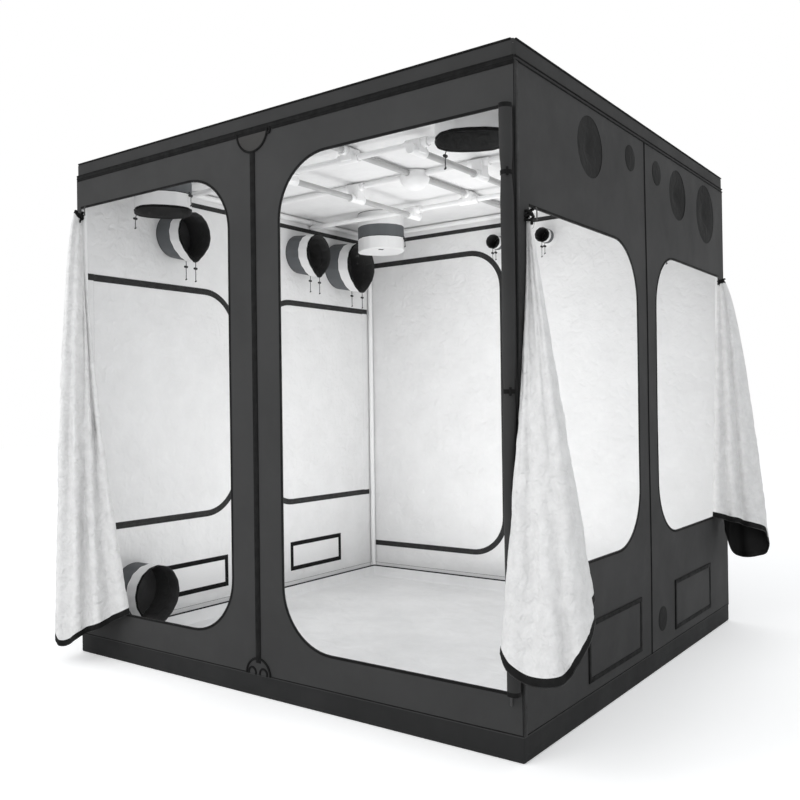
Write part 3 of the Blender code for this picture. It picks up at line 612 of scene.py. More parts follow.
    @staticmethod
    def tube(name: str, line: Sequence[Vector], radius: float, sides: int = 6) -> Obj:
        """Make a round cord of mesh along a line of points."""
        rings = []
        across = None
        for index, point in enumerate(line):
            along = (line[min(index + 1, len(line) - 1)] - line[max(index - 1, 0)]).normalized()
            if across is None:
                across = along.orthogonal().normalized()
            across = (across - along * across.dot(along)).normalized()
            other = along.cross(across)
            rings.append([point + radius * (across * math.cos(turn) + other * math.sin(turn))
                          for turn in turns(sides)])
        return Shop.seal(Shop.rows(name, rings, ring=True), weld=False)

    @staticmethod
    def prisms(name: str, outlines: Sequence[Flat], front: float = -CUT, back: float = CUT) -> Obj:
        """Make solid prisms from outlines of the wall's plane."""
        bm = bmesh.new()
        for outline in outlines:
            near = [bm.verts.new((x, front, z)) for x, z in outline]
            far = [bm.verts.new((x, back, z)) for x, z in outline]
            bm.faces.new(near)
            bm.faces.new(list(reversed(far)))
            for step in range(len(outline)):
                after = (step + 1) % len(outline)
                bm.faces.new((near[step], far[step], far[after], near[after]))
        bmesh.ops.recalc_face_normals(bm, faces=bm.faces)
        return Shop.link(name, bm)

    @staticmethod
    def apply(obj: Obj) -> None:
        """Apply every modifier."""
        Shop.focus(obj)
        for modifier in list(obj.modifiers):
            bpy.ops.object.modifier_apply(modifier=modifier.name)

    @staticmethod
    def thicken(obj: Obj, thickness: float, inner: int = 0, rim: int = 0) -> None:
        """Give a sheet its thickness, away from where its faces look."""
        modifier = obj.modifiers.new("cloth", "SOLIDIFY")
        modifier.thickness = thickness
        modifier.offset = -1.0
        modifier.material_offset = inner
        modifier.material_offset_rim = rim
        Shop.apply(obj)

    @staticmethod
    def cut(obj: Obj, tool: Obj, operation: str = "DIFFERENCE") -> None:
        """Cut an object with another, which is then dropped."""
        modifier = obj.modifiers.new("cut", "BOOLEAN")
        modifier.operation = operation
        modifier.solver = "EXACT"
        modifier.object = tool
        Shop.apply(obj)
        bpy.data.objects.remove(tool, do_unlink=True)

    @staticmethod
    def paint(obj: Obj, finishes: Sequence[str], rule: Callable[[Face], int] | None = None) -> None:
        """Give the object its finishes, and each face one of them by a rule."""
        obj.data.materials.clear()
        for name in finishes:
            obj.data.materials.append(Shop.finishes[name])
        if rule is not None:
            for face in obj.data.polygons:
                face.material_index = rule(face)

    @staticmethod
    def smooth(obj: Obj, angle: float = 35.0) -> None:
        """Shade the object smooth, with edges past the angle sharp."""
        Shop.focus(obj)
        bpy.ops.object.shade_smooth_by_angle(angle=math.radians(angle))

    @staticmethod
    def hang(obj: Obj, side: Side) -> None:
        """Set a piece drawn in wall coordinates in its place, with the wall's slack."""
        matrix = side.matrix()
        for vert in obj.data.vertices:
            x, depth, z = vert.co
            vert.co = matrix @ Vector((x, depth - side.slack(x, z), z))
        obj.data.update()

    @staticmethod
    def join(name: str, parts: Sequence[Obj]) -> Obj:
        """Join pieces into one."""
        Shop.clear()
        for part in parts:
            part.select_set(True)
        bpy.context.view_layer.objects.active = parts[0]
        if len(parts) > 1:
            bpy.ops.object.join()
        parts[0].name = name
        parts[0].data.name = name
        return parts[0]

    @staticmethod
    def place(obj: Obj, matrix: Matrix) -> Obj:
        """Put a piece's place into its mesh."""
        obj.data.transform(matrix)
        obj.data.update()
        return obj

    @staticmethod
    def own(obj: Obj) -> Obj:
        """Put the object's own transform into its mesh."""
        matrix = obj.matrix_basis.copy()
        obj.matrix_basis = Matrix.Identity(4)
        return Shop.place(obj, matrix)

    @staticmethod
    def done(obj: Obj, body: str = BODY, slot: str = "base_canvas") -> Obj:
        """Let the finished piece ride on its body and log it."""
        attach(obj, body)
        LOG.info("%s on %s", obj.name, body)
        return obj

    @staticmethod
    def dress(
        obj: Obj,
        finishes: Sequence[str],
        side: Side | None = None,
        angle: float | None = 35.0,
        body: str = BODY,
        slot: str = "base_canvas",
        rule: Callable[[Face], int] | None = None,
    ) -> Obj:
        """Finish a piece: its materials, its shading, its place and its body.

        Args:
            obj: The piece.
            finishes: The names of its finishes.
            side: The wall whose coordinates it is drawn in, or None for the tent's own.
            angle: The angle past which an edge is sharp, or None for flat faces.
            body: The body that it rides on.
            slot: Not used.
            rule: What picks each face's finish.

        Returns:
            The piece.
        """
        Shop.paint(obj, finishes, rule)
        if angle is not None:
            Shop.smooth(obj, angle)
        if side is not None:
            Shop.hang(obj, side)
        return Shop.done(obj, body, slot)


# Shapes of the wall's plane


def turns(count: int) -> list[float]:
    """Return the angles of a number of even steps round a circle."""
    return [2 * math.pi * step / count for step in range(count)]


def arc(centre: tuple[float, float], radius: float, start: float, end: float, steps: int) -> Points:
    """Return points of an arc, by its angles in degrees."""
    points = []
    for step in range(steps + 1):
        angle = math.radians(start + (end - start) * step / steps)
        points.append((centre[0] + radius * math.cos(angle), centre[1] + radius * math.sin(angle)))
    return points


def circle(centre: tuple[float, float], radius: float, steps: int, start: float = 0.0) -> Points:
    """Return points of a whole circle, each once."""
    return arc(centre, radius, start, start + 360, steps)[:-1]


def oblong(x: float, z: float, width: float, height: float) -> Points:
    """Return the corners of a rectangle about a point."""
    w, h = width / 2, height / 2
    return [(x - w, z - h), (x + w, z - h), (x + w, z + h), (x - w, z + h)]


def spaced(path: Flat, pitch: float, closed: bool = False) -> Points:
    """Return the path, or the loop, with points no further apart than the pitch."""
    points = [path[0]]
    for before, after in zip(path, [*path[1:], path[0]] if closed else path[1:]):
        count = max(1, math.ceil(math.dist(before, after) / pitch))
        for step in range(1, count + 1):
            share = step / count
            points.append(tuple(p + (q - p) * share for p, q in zip(before, after)))
    return points[:-1] if closed else points


def tape(first: float, last: float, front: float, back: float) -> Points:
    """Return a flat strip's cross-section with softened edges."""
    soft = min(abs(back - front), abs(last - first)) * 0.3
    step = math.copysign(soft, last - first)
    return [
        (first + step, front), (last - step, front), (last, front + soft), (last, back - soft),
        (last - step, back), (first + step, back), (first, back - soft), (first, front + soft),
    ]


def bead(radius: float, depth: float, sides: int = 8) -> Points:
    """Return a round cord's cross-section."""
    return [(radius * math.cos(turn), depth + radius * math.sin(turn)) for turn in turns(sides)]


@dataclass(frozen=True)
class Opening:
    """A D-shaped door or window: straight at its hinge edge, round at its free one."""

    hinge: float
    free: float
    low: float
    high: float
    corner: float = 0.20
    steps: int = 14

    @property
    def sign(self) -> int:
        """Return 1 where the free edge is to the right of the hinge edge."""
        return 1 if self.free > self.hinge else -1

    @property
    def cut(self) -> tuple[float, float]:
        """Return the width and height that the panel was cut to."""
        return abs(self.free - self.hinge), self.high - self.low

    def edge(self, margin: float = 0.0) -> Points:
        """Return the zipped edge, from the foot of the hinge edge round to its top."""
        side, corner = self.sign, self.corner
        hinge, free = self.hinge + side * margin, self.free - side * margin
        low, high = self.low + margin, self.high - margin
        quarter = [math.pi / 2 * step / self.steps for step in range(self.steps + 1)]
        foot = [(free - side * corner * (1 - math.sin(t)), low + corner * (1 - math.cos(t))) for t in quarter]
        head = [(free - side * corner * (1 - math.cos(t)), high - corner * (1 - math.sin(t)))
                for t in quarter]
        return [(hinge, low), *foot, *head, (hinge, high)]

    def area(self) -> float:
        """Return the opening's area."""
        width, height = self.cut
        return width * height - (2 - math.pi / 2) * self.corner ** 2

    def girth(self) -> float:
        """Return the length of the whole edge."""
        edge = self.edge()
        return sum(math.dist(a, b) for a, b in zip(edge, edge[1:] + edge[:1]))


DOORS = (Opening(-0.975, -0.122, 0.19, 1.81), Opening(0.975, 0.122, 0.19, 1.81))
WINDOWS = (Opening(-0.925, -0.10, 0.49, 1.54), Opening(0.925, 0.10, 0.49, 1.54))


# Drawcords, duct sleeves and cable ports


@dataclass
class Tail:
    """A drawcord's hanging end, with its cord lock and the knot that stops it."""

    name: str
    exit: Vector
    way: Vector
    length: float = 0.085
    diameter: float = 0.0032
    points: int = 24
    locked_at: int = 8
    sway: float = 0.06

    def line(self) -> list[Vector]:
        """Return the cord's points: out of its casing, then down under its own weight."""
        made = [self.exit.copy()]
        step = self.length / self.points
        heading = self.way.normalized()
        for index in range(self.points):
            first, second = index * 0.5 + self.exit.y * 9, index * 0.6 + self.exit.x * 7
            sway = Vector((math.sin(first), math.cos(second), 0)) * self.sway
            heading = (heading * 0.72 + (DOWN + sway) * 0.28).normalized()
            made.append(made[-1] + heading * step)
        return made

    def lock(self, line: Sequence[Vector]) -> Obj:
        """Make the cord lock, with its push button, and the knot at the end."""
        barrel = Shop.solid(bpy.ops.mesh.primitive_cylinder_add, vertices=12, radius=0.0055, depth=0.014)
        with Shop.editing(barrel, lambda face: face.normal.z > 0.9):
            bpy.ops.mesh.inset(thickness=0.0012, depth=0.0)
            bpy.ops.mesh.extrude_region_move(TRANSFORM_OT_translate={"value": (0, 0, 0.003)})
            bpy.ops.mesh.select_all(action="SELECT")
            bpy.ops.mesh.bevel(offset=0.0006, segments=2)
        Shop.place(barrel, Matrix.Translation(line[self.locked_at]) @ Matrix.Rotation(math.pi / 2, 4, "X"))
        end = line[-1]
        knot = Shop.solid(bpy.ops.mesh.primitive_torus_add, location=end, major_segments=12, minor_segments=6,
                          major_radius=0.0026, minor_radius=0.0022)
        for vert in knot.data.vertices:
            vert.co.z += 0.5 * (vert.co.x - end.x)
        return Shop.dress(Shop.join(self.name + "_lock", [barrel, knot]), ["black_plastic"])

    def build(self) -> None:
        """Make the cord, its lock and its knot."""
        line = self.line()
        curve = bpy.data.curves.new(self.name, "CURVE")
        curve.dimensions = "3D"
        curve.bevel_depth = self.diameter / 2
        curve.bevel_resolution = 2
        curve.use_fill_caps = True
        spline = curve.splines.new("POLY")
        spline.points.add(len(line) - 1)
        for point, place in zip(spline.points, line):
            point.co = (*place, 1)
        cord = bpy.data.objects.new(self.name, curve)
        bpy.context.scene.collection.objects.link(cord)
        curve.materials.append(Shop.finishes["cord_braid"])
        Shop.done(cord)
        lock = self.lock(line)


@dataclass(frozen=True)
class Sleeve:
    """A duct sleeve: gathered shut outside, a tube with an open mouth inside.

    A sleeve with no side hangs from the roof, and z is then its place from front to back.
    """

    name: str
    side: Side | None
    x: float
    z: float
    radius: float
    length: float
    pinch: float = 0.022
    droop: float = 0.014
    tail: float = 0.085
    collar: float = 0.0
    bands: tuple[float, float] = (0.56, 0.92)
    closed: bool = False
    sides: int = 96
    gather: float = 0.0013
    fold: float = 0.005
    band_rise: float = 0.0016
    band_hem: float = 0.015

    def matrix(self) -> Matrix:
        """Return the sleeve's place; its own y runs inward."""
        if self.side is None:
            return Matrix.Translation((self.x, self.z, HEIGHT)) @ Matrix.Rotation(-math.pi / 2, 4, "X")
        return self.side.matrix() @ Matrix.Translation((self.x, 0, self.z))

    def ring(self, radius: float, along: float) -> list[Vector]:
        """Return one ring of the cloth; the drawcord pulls its lower side to a point."""
        share = max(0.0, along / self.length)
        points = []
        fold = self.fold if self.side is None else 0.0
        for angle in turns(self.sides):
            low = max(0.0, -math.sin(angle))
            gather = self.gather * math.sin(16 * angle + 1.3 * self.x)
            gather *= math.sin(math.pi * min(share, 1.0) * 0.8)
            wide = radius + gather + fold * share * math.cos(4 * angle + self.x)
            x = wide * math.cos(angle) * (1 - self.pinch * share / self.radius * (low ** 3 * 2 + 0.5 * share))
            z = wide * math.sin(angle) - self.pinch * share * low ** 3 - self.droop * share
            points.append(Vector((x, along, z)))
        return points

    def edge(self, share: float, angle: float) -> Vector:
        """Return a point of the tube, by its share of the length and its angle in degrees."""
        ring = self.ring(self.radius, self.length * share)
        return self.matrix() @ ring[round(angle % 360 / 360 * self.sides) % self.sides]

    def tails(self) -> list[Tail]:
        """Return the two drawcord tails, at the mouth and at the band's edge."""
        ends = (("mouth", 0.98, 270), ("band", 0.56, 270))
        if self.side is None:
            ends = (("mouth", 0.98, 200 if self.x < 0 else 160), ("band", 0.62, 20))
        made = []
        for label, share, angle in ends:
            start, way = self.edge(share, angle), DOWN
            if self.side is None:
                way = (start - self.matrix() @ Vector((0, self.length * share, 0))).normalized()
            made.append(Tail(f"{self.name}_{label}_cord", start, way, self.tail))
        return made

    def rings(self) -> list[list[Vector]]:
        """Return the rings from the gathered cover's middle to the mouth."""
        cover = (
            (0.03, 0.0135), (0.12, 0.0125), (0.3, 0.008), (0.55, 0.0035),
            (0.8, 0.0018), (0.95, 0.0008), (1, 0.0005), (1, 0.004),
        )
        made = [self.ring(self.radius * part, along) for part, along in cover]
        first, second = self.bands
        proud = (first, first + self.band_hem, second + 0.005, 0.985)
        steps = [first * part for part in (0.25, 0.5, 0.75)] + [first - 0.005, *proud[:2], first + 0.02]
        steps += [self.collar, self.collar + 0.01] if self.collar else []
        steps += [(first + second) / 2, second - 0.03, second, *proud[2:], 1.0]
        for share in sorted(steps):
            rise = self.band_rise if share in proud else 0.0
            made.append(self.ring(self.radius + rise, self.length * share))
        if self.closed:
            for part, share in ((0.97, 0.998), (0.8, 0.975), (0.45, 0.955), (0.12, 0.93)):
                made.append(self.ring(self.radius * part, self.length * share))
        return made

    def band(self, face: Face, last: int) -> int:
        """Return the finish of a face: cover, grey cloth, white cloth or binding."""
        first, second = self.bands
        share = face.center.y / self.length
        if face.index < self.sides * 7 or face.index == last:
            return 0
        if first < share < first + self.band_hem:
            return 3
        if self.collar < share < first:
            return 1
        return 2 if share < second or self.closed else 3

    def build(self) -> None:
        """Make the sleeve's cloth in its bands."""
        obj = Shop.rows(self.name + "_cloth", self.rings(), ring=True)
        Shop.seal(obj, cap=self.sides)
        Shop.outward(obj, self.sides * 6)
        last = len(obj.data.polygons) - 1
        finishes = ["cover_canvas", "duct_grey", "duct_white", "black_binding", "duct_inside"]
        Shop.paint(obj, finishes, lambda face: self.band(face, last))
        Shop.thicken(obj, 0.0012, inner=4, rim=4)
        Shop.smooth(obj, 50)
        Shop.place(obj, self.matrix())
        Shop.done(obj, slot="duct_cloth")
        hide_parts(self.name)


HANGING = {"pinch": 0.0, "droop": 0.0, "tail": 0.06, "collar": 0.36, "bands": (0.66, 0.95)}
SLEEVES = (
    Sleeve("right_sleeve_front", Side.RIGHT, -0.49, 1.805, 0.10, 0.15, tail=0.055),
    Sleeve("right_sleeve_middle", Side.RIGHT, 0.37, 1.805, 0.10, 0.15, tail=0.055),
    Sleeve("right_sleeve_rear", Side.RIGHT, 0.735, 1.79, 0.125, 0.17, tail=0.032),
    Sleeve("left_sleeve_front", Side.LEFT, 0.49, 1.775, 0.10, 0.15),
    Sleeve("left_sleeve_middle", Side.LEFT, -0.37, 1.80, 0.10, 0.15),
    Sleeve("left_sleeve_rear", Side.LEFT, -0.71, 1.775, 0.125, 0.17),
    Sleeve("left_sleeve_low", Side.LEFT, 0.73, 0.205, 0.118, 0.16, pinch=0.011, droop=0.0, tail=0.045),
    Sleeve("roof_sleeve_front_left", None, -0.75, -0.76, 0.12, 0.20, **HANGING),
    Sleeve("roof_sleeve_front_right", None, 0.75, -0.80, 0.12, 0.20, **HANGING),
    Sleeve("roof_sleeve_rear", None, -0.62, 0.60, 0.12, 0.20, closed=True, **HANGING),
)


@dataclass(frozen=True)
class Port:
    """A small cable port: a short collar inside, a cloth cover outside."""

    name: str
    side: Side
    x: float
    z: float
    radius: float
    length: float
    sides: int = 40
    thick: float = 0.0022
    rise: float = 0.0012
    flange: float = 0.016
    gather: float = 0.0007
    lap: float = 0.006

    def ring(self, radius: float, along: float) -> list[Vector]:
        """Return one ring of the collar."""
        points = []
        for angle in turns(self.sides):
            wide = radius + self.gather * math.sin(11 * angle) * min(1.0, along / self.length)
            points.append(Vector((self.x + wide * math.cos(angle), along, self.z + wide * math.sin(angle))))
        return points

    def tails(self) -> list[Tail]:
        """Return the two tails of the collar's drawcord."""
        made = []
        for label, share, length in (("mouth", 0.93, 0.075), ("band", 0.55, 0.055)):
            start = self.side.matrix() @ Vector((self.x, self.length * share, self.z - self.radius - 0.001))
            made.append(Tail(f"{self.name}_{label}_cord", start, DOWN, length, 0.0022))
        return made

    def band(self, face: Face) -> int:
        """Return the finish of a face: white cloth, grey cloth, binding or the inside."""
        away = (Vector((face.center.x, 0, face.center.z)) - Vector((self.x, 0, self.z))).length
        share = face.center.y / self.length
        if away < self.radius - 0.0016:
            return 3
        return 0 if share < 0.225 else 1 if share < 0.525 else 0 if share < 0.805 else 2

    def build(self) -> None:
        """Make the flange, the banded collar and the cover."""
        r, length = self.radius, self.length
        banded, inside = r + self.rise, r - self.thick
        spans = (
            (r + self.flange, CLOTH + 0.0002), (r + self.flange, CLOTH + 0.0016), (r + 0.003, CLOTH + 0.0020),
            (r, 0.006), (r, length * 0.22), (banded, length * 0.23), (banded, length * 0.52),
            (r, length * 0.53), (r, length * 0.80), (banded, length * 0.81), (r + 0.0014, length * 0.96),
            (r, length), (inside, length), (inside, length * 0.5), (inside, 0.004),
        )
        obj = Shop.rows(self.name + "_collar", [self.ring(*span) for span in spans], ring=True, flip=True)
        Shop.dress(obj, ["duct_white", "duct_grey", "black_binding", "duct_inside"], self.side, 50,
                   slot="duct_cloth", rule=self.band)
        wide = r + self.lap
        spans = [(share * wide, -0.0012 - 0.0016 * (1 - share ** 2)) for share in (0.04, 0.3, 0.6, 0.85, 1)]
        rows = [self.ring(*span) for span in spans]
        cover = Shop.seal(Shop.rows(self.name + "_cover", rows, ring=True), cap=self.sides)
        Shop.outward(cover)
        Shop.thicken(cover, 0.0008)
        Shop.dress(cover, ["cover_canvas"], self.side, slot="dark_canvas")


PORTS = (
    Port("right_port_front", Side.RIGHT, -0.14, 1.845, 0.0395, 0.07),
    Port("right_port_rear", Side.RIGHT, 0.13, 1.845, 0.0395, 0.07),
    Port("right_port_low", Side.RIGHT, 0.12, 0.18, 0.0395, 0.07),
    Port("back_port_east", Side.BACK, -0.15, 1.84, 0.035, 0.09),
    Port("back_port_west", Side.BACK, 0.13, 1.84, 0.035, 0.09),
)

VENTS = (
    ("vent_flap_right_front", Side.RIGHT, -0.335),
    ("vent_flap_right_rear", Side.RIGHT, 0.49),
    ("vent_flap_left_front", Side.LEFT, 0.38),
    ("vent_flap_left_rear", Side.LEFT, -0.49),
)
VENT_HIGH = 0.205
SCREEN = (0.40, 0.13)
FLAP = (0.45, 0.18)


# The cover's cloth


@dataclass
class Wall:
    """One wall of lined canvas with its openings cut and hemmed."""

    side: Side
    openings: Sequence[Opening]
    pitch: float = 0.03
    overlap: float = 0.004

    def plate(self, name: str, low: tuple[float, float], high: tuple[float, float]) -> Obj:
        """Return a grid of cloth between two corners, thickened inward."""
        wide, tall = high[0] - low[0], high[1] - low[1]
        columns, lines = (max(2, round(size / self.pitch)) for size in (wide, tall))
        xs = [low[0] + wide * step / columns for step in range(columns + 1)]
        heights = [low[1] + tall * line / lines for line in range(lines + 1)]
        obj = Shop.rows(name, [[Vector((x, 0, z)) for x in xs] for z in heights])
        Shop.outward(obj, 1)
        Shop.thicken(obj, CLOTH)
        return obj

    @staticmethod
    def by_face(face: Face) -> int:
        """Return 0 for the outside, 1 for the lining and 2 for a cut edge."""
        return 0 if face.normal.y < -0.5 else 1 if face.normal.y > 0.5 else 2

    def dress(self, obj: Obj, body: str = BODY) -> None:
        """Give a lined piece its finishes and hang it in this wall."""
        finishes = ["outer_canvas", "white_lining", "black_binding"]
        Shop.dress(obj, finishes, self.side, 40, body, "dark_canvas", self.by_face)

    def holes(self) -> list[Flat]:
        """Return the outlines of all that is cut out of the wall."""
        made = [opening.edge() for opening in self.openings]
        for row, steps, trim in ((SLEEVES, 64, 0.0014), (PORTS, 40, 0.0015)):
            made += [circle((one.x, one.z), one.radius - trim, steps) for one in row if one.side is self.side]
        return made + [oblong(x, VENT_HIGH, *SCREEN) for _, side, x in VENTS if side is self.side]

    def build(self) -> None:
        """Make the wall."""
        half = HALF - (0.0 if self.side.posted else 0.0018)
        corner = (half, SKIRT_LOW + self.overlap)
        obj = self.plate(self.side.cloth, (-half, BAND_HIGH - self.overlap), corner)
        flat = 2 * half * (SKIRT_LOW - BAND_HIGH)
        Shop.cut(obj, Shop.prisms("wall_holes", self.holes()))
        hems = sum(opening.girth() for opening in self.openings) * HEM
        area = flat - sum(opening.area() for opening in self.openings) + hems
        self.dress(obj)
        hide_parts(self.side.label + "_panel")

    def closed_panel(self, node: str, opening: Opening) -> None:
        """Make a door or window that is zipped shut."""
        xs = sorted((opening.hinge, opening.free))
        obj = self.plate(node + "_cloth", (xs[0], opening.low), (xs[1], opening.high))
        Shop.cut(obj, Shop.prisms("panel_cut", [opening.edge(GAP)]), "INTERSECT")
        self.dress(obj, node)
        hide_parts(node)
        opening.cut
        opening.area()


@dataclass
class Zip:
    """The zip round one opening: half on the wall, half on its panel."""

    side: Side
    opening: Opening
    label: str
    panel: str | None
    park: float = 0.035
    outside: float = 0.008
    proud: float = 0.0012

    def strip(self, name: str, sign: int, inside: float, body: str) -> None:
        """Make one half of the tape, narrow outside and wide inside."""
        path = spaced(self.opening.edge(), 0.03)
        thin = tape(0.0008, self.outside, -0.0010, CLOTH * 0.5)
        wide = tape(0.0008, inside, CLOTH * 0.4, CLOTH + self.proud)
        parts = [Shop.sweep(name, path, thin, sign), Shop.sweep(name + "_inner", path, wide, sign)]
        Shop.dress(Shop.join(name, parts), ["black_binding", "zip_tape"], self.side, body=body,
                   rule=lambda face: 1 if face.center.y > CLOTH * 0.6 else 0)

    def build(self) -> None:
        """Make the tapes, the chain of teeth and the sliders."""
        away = -self.opening.sign
        self.strip(self.label + "_zip_wall_tape", away, 0.013, BODY)
        path = spaced(self.opening.edge(), 0.02)
        chain = Shop.sweep(self.label + "_zip_chain", path, bead(0.0017, CLOTH / 2))
        Shop.dress(chain, ["zip_teeth"], self.side, 60)
        if self.panel is not None:
            self.strip(self.label + "_zip_panel_tape", -away, 0.016, self.panel)
        if not self.side.posted:
            self.ends()
        self.slider(self.label + "_slider_top", -2, -1)
        self.slider(self.label + "_slider_foot", 1, 0)

    def ends(self) -> None:
        """Make the ends of the inner tape, which run on to the corner post."""
        parts = []
        hinge = self.opening.hinge
        for label, z in (("low", self.opening.low), ("high", self.opening.high)):
            path = [(hinge, z), (hinge - self.opening.sign * 0.045, z)]
            section = tape(-0.0135, 0.0135, CLOTH, CLOTH + self.proud)
            parts.append(Shop.sweep(f"{self.label}_zip_end_{label}", path, section))
        Shop.dress(Shop.join(self.label + "_zip_ends", parts), ["zip_tape"], self.side, None)

    def slider(self, name: str, index: int, last: int) -> None:
        """Make a slider with its pull tab, parked near an end of the zip."""
        edge = self.opening.edge()
        (x, z), end = edge[index], edge[last]
        share = self.park / max(math.dist((x, z), end), 0.001)
        x, z = end[0] + (x - end[0]) * share, end[1] + (z - end[1]) * share
        cube = bpy.ops.mesh.primitive_cube_add
        body = Shop.solid(cube, size=1, location=(0, -0.0035, 0), scale=(0.009, 0.004, 0.0075))
        with Shop.editing(body):
            bpy.ops.mesh.bevel(offset=0.0012, segments=2)
        tab = Shop.solid(cube, size=1, location=(0, -0.0066, -0.017), scale=(0.007, 0.0014, 0.034))
        with Shop.editing(tab, lambda face: abs(face.normal.y) > 0.9):
            bpy.ops.mesh.inset(thickness=0.0016, depth=-0.0003)
            bpy.ops.mesh.select_all(action="SELECT")
            bpy.ops.mesh.bevel(offset=0.0004, segments=1)
        obj = Shop.place(Shop.join(name, [body, tab]), Matrix.Translation((x, 0, z)))
        Shop.dress(obj, ["dark_metal"], self.side)


@dataclass
class Roof:
    """The roof's cloth with its skirt."""

    name: str = "roof_cloth"
    edge: float = 0.014
    sag: float = 0.0020

    def build(self) -> None:
        """Make the roof from a rounded box."""
        obj = rounded_tray(self.name, HALF, SKIRT_LOW, HEIGHT, self.edge, open_up=False)
        Shop.thicken(obj, CLOTH)
        sleeves = [sleeve for sleeve in SLEEVES if sleeve.side is None]
        holes = [Shop.solid(bpy.ops.mesh.primitive_cylinder_add, vertices=64, radius=sleeve.radius - 0.0014,
                            depth=2 * CUT, location=(sleeve.x, sleeve.z, HEIGHT)) for sleeve in sleeves]
        Shop.cut(obj, Shop.join("roof_holes", holes))
        for vert in obj.data.vertices:
            x, y, z = vert.co
            if z > HEIGHT - 0.004:
                sag = abs(math.sin(math.pi * x)) * abs(math.sin(math.pi * y))
                near = min(math.dist((x, y), (s.x, s.z)) - s.radius for s in sleeves)
                wave = 1 + 0.3 * math.sin(9 * x + 4 * y)
                vert.co.z -= self.sag * sag * min(1.0, max(0.0, near / 0.1)) * wave
        # The ceiling's lining finish is painted light, a lighter copy of the walls' lining.
        Shop.dress(obj, ["roof_canvas", "roof_lining"], angle=40, slot="dark_canvas", rule=inward_from(1.0))
        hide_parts("roof_panel")


def inward_from(height: float) -> Callable[[Face], int]:
    """Return a rule that gives 1 to the faces that look at a point of the tent's axis."""
    middle = Vector((0, 0, height))
    return lambda face: 1 if face.normal.dot(face.center - middle) < 0 else 0


def rounded_tray(
    name: str, half: float, low: float, high: float, soft: float, open_up: bool, pitch: float = 0.1
) -> Obj:
    """Make a shallow open box of cloth with rounded edges.

    Args:
        name: The object's name.
        half: Half of its width and depth.
        low: Its lowest height.
        high: Its highest height.
        soft: The radius of its edges.
        open_up: Whether it is open above, and otherwise below.
        pitch: The spacing of its grid.

    Returns:
        The sheet, its faces looking outward.
    """
    middle = (0, 0, (low + high) / 2)
    size = (2 * half, 2 * half, high - low)
    obj = Shop.solid(bpy.ops.mesh.primitive_cube_add, size=1, location=middle, scale=size)
    obj.name = name
    obj.data.name = name
    gone = 1 if open_up else -1
    count = round(2 * half / pitch)
    with Shop.editing(obj, lambda face: face.normal.z * gone > 0.9):
        bpy.ops.mesh.delete(type="FACE")
        bm = bmesh.from_edit_mesh(obj.data)
        for edge in bm.edges:
            edge.select = not edge.is_boundary
        bmesh.update_edit_mesh(obj.data)
        bpy.ops.mesh.bevel(offset=soft, segments=3)
        for axis in ((1, 0, 0), (0, 1, 0)):
            for step in range(1, count):
                place = -half + 2 * half * step / count
                bpy.ops.mesh.select_all(action="SELECT")
                bpy.ops.mesh.bisect(plane_co=tuple(place * a for a in axis), plane_no=axis)
    return obj


@dataclass
class Ground:
    """The ground sheet with its band, and the loose spill tray on it."""

    soft: float = 0.006
    tray_half: float = HALF - 0.0356
    tray_low: float = 0.0036
    tray_high: float = 0.0633
    tray_soft: float = 0.012

    def build(self) -> None:
        """Make both."""
        sheet = rounded_tray("ground_cloth", HALF, 0.0, BAND_HIGH, self.soft, open_up=True)
        Shop.thicken(sheet, CLOTH)
        Shop.dress(sheet, ["base_canvas", "white_lining"], angle=40, rule=inward_from(0.3))
        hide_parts("ground_sheet")
        low, high = self.tray_low, self.tray_high
        tray = rounded_tray("tray_cloth", self.tray_half, low, high, self.tray_soft, open_up=True, pitch=0.05)
        for vert in tray.data.vertices:
            x, y, z = vert.co
            if z < low + 0.001:
                vert.co.z += 0.0035 * max(0.0, noise.noise(Vector((x * 5, y * 5, 0.3))) + 0.25)
            elif z > high - 0.001:
                vert.co.z += 0.0012 * noise.noise(Vector((x * 14, y * 14, 2.0)))
        Shop.thicken(tray, 0.0010)
        Shop.dress(tray, ["tray_film"], angle=40, slot="tray_film")
        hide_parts("spill_tray")
        self.binding()

    def binding(self) -> None:
        """Make the dark binding on the tray's rim."""
        h, soft = self.tray_half - 0.0005, self.tray_soft
        loop = []
        for x, y, start in ((h, -h, -90), (h, h, 0), (-h, h, 90), (-h, -h, 180)):
            centre = (x - math.copysign(soft, x), y - math.copysign(soft, y))
            loop += arc(centre, soft, start, start + 90, 4)
        obj = Shop.sweep("tray_rim_binding", loop, tape(-0.0016, 0.0016, -0.0045, 0.0022), closed=True)
        for vert in obj.data.vertices:
            vert.co = Vector((vert.co.x, vert.co.z, self.tray_high - vert.co.y - 0.001))
        obj.data.flip_normals()
        Shop.dress(obj, ["black_binding"])


# Panels that hang open or are rolled

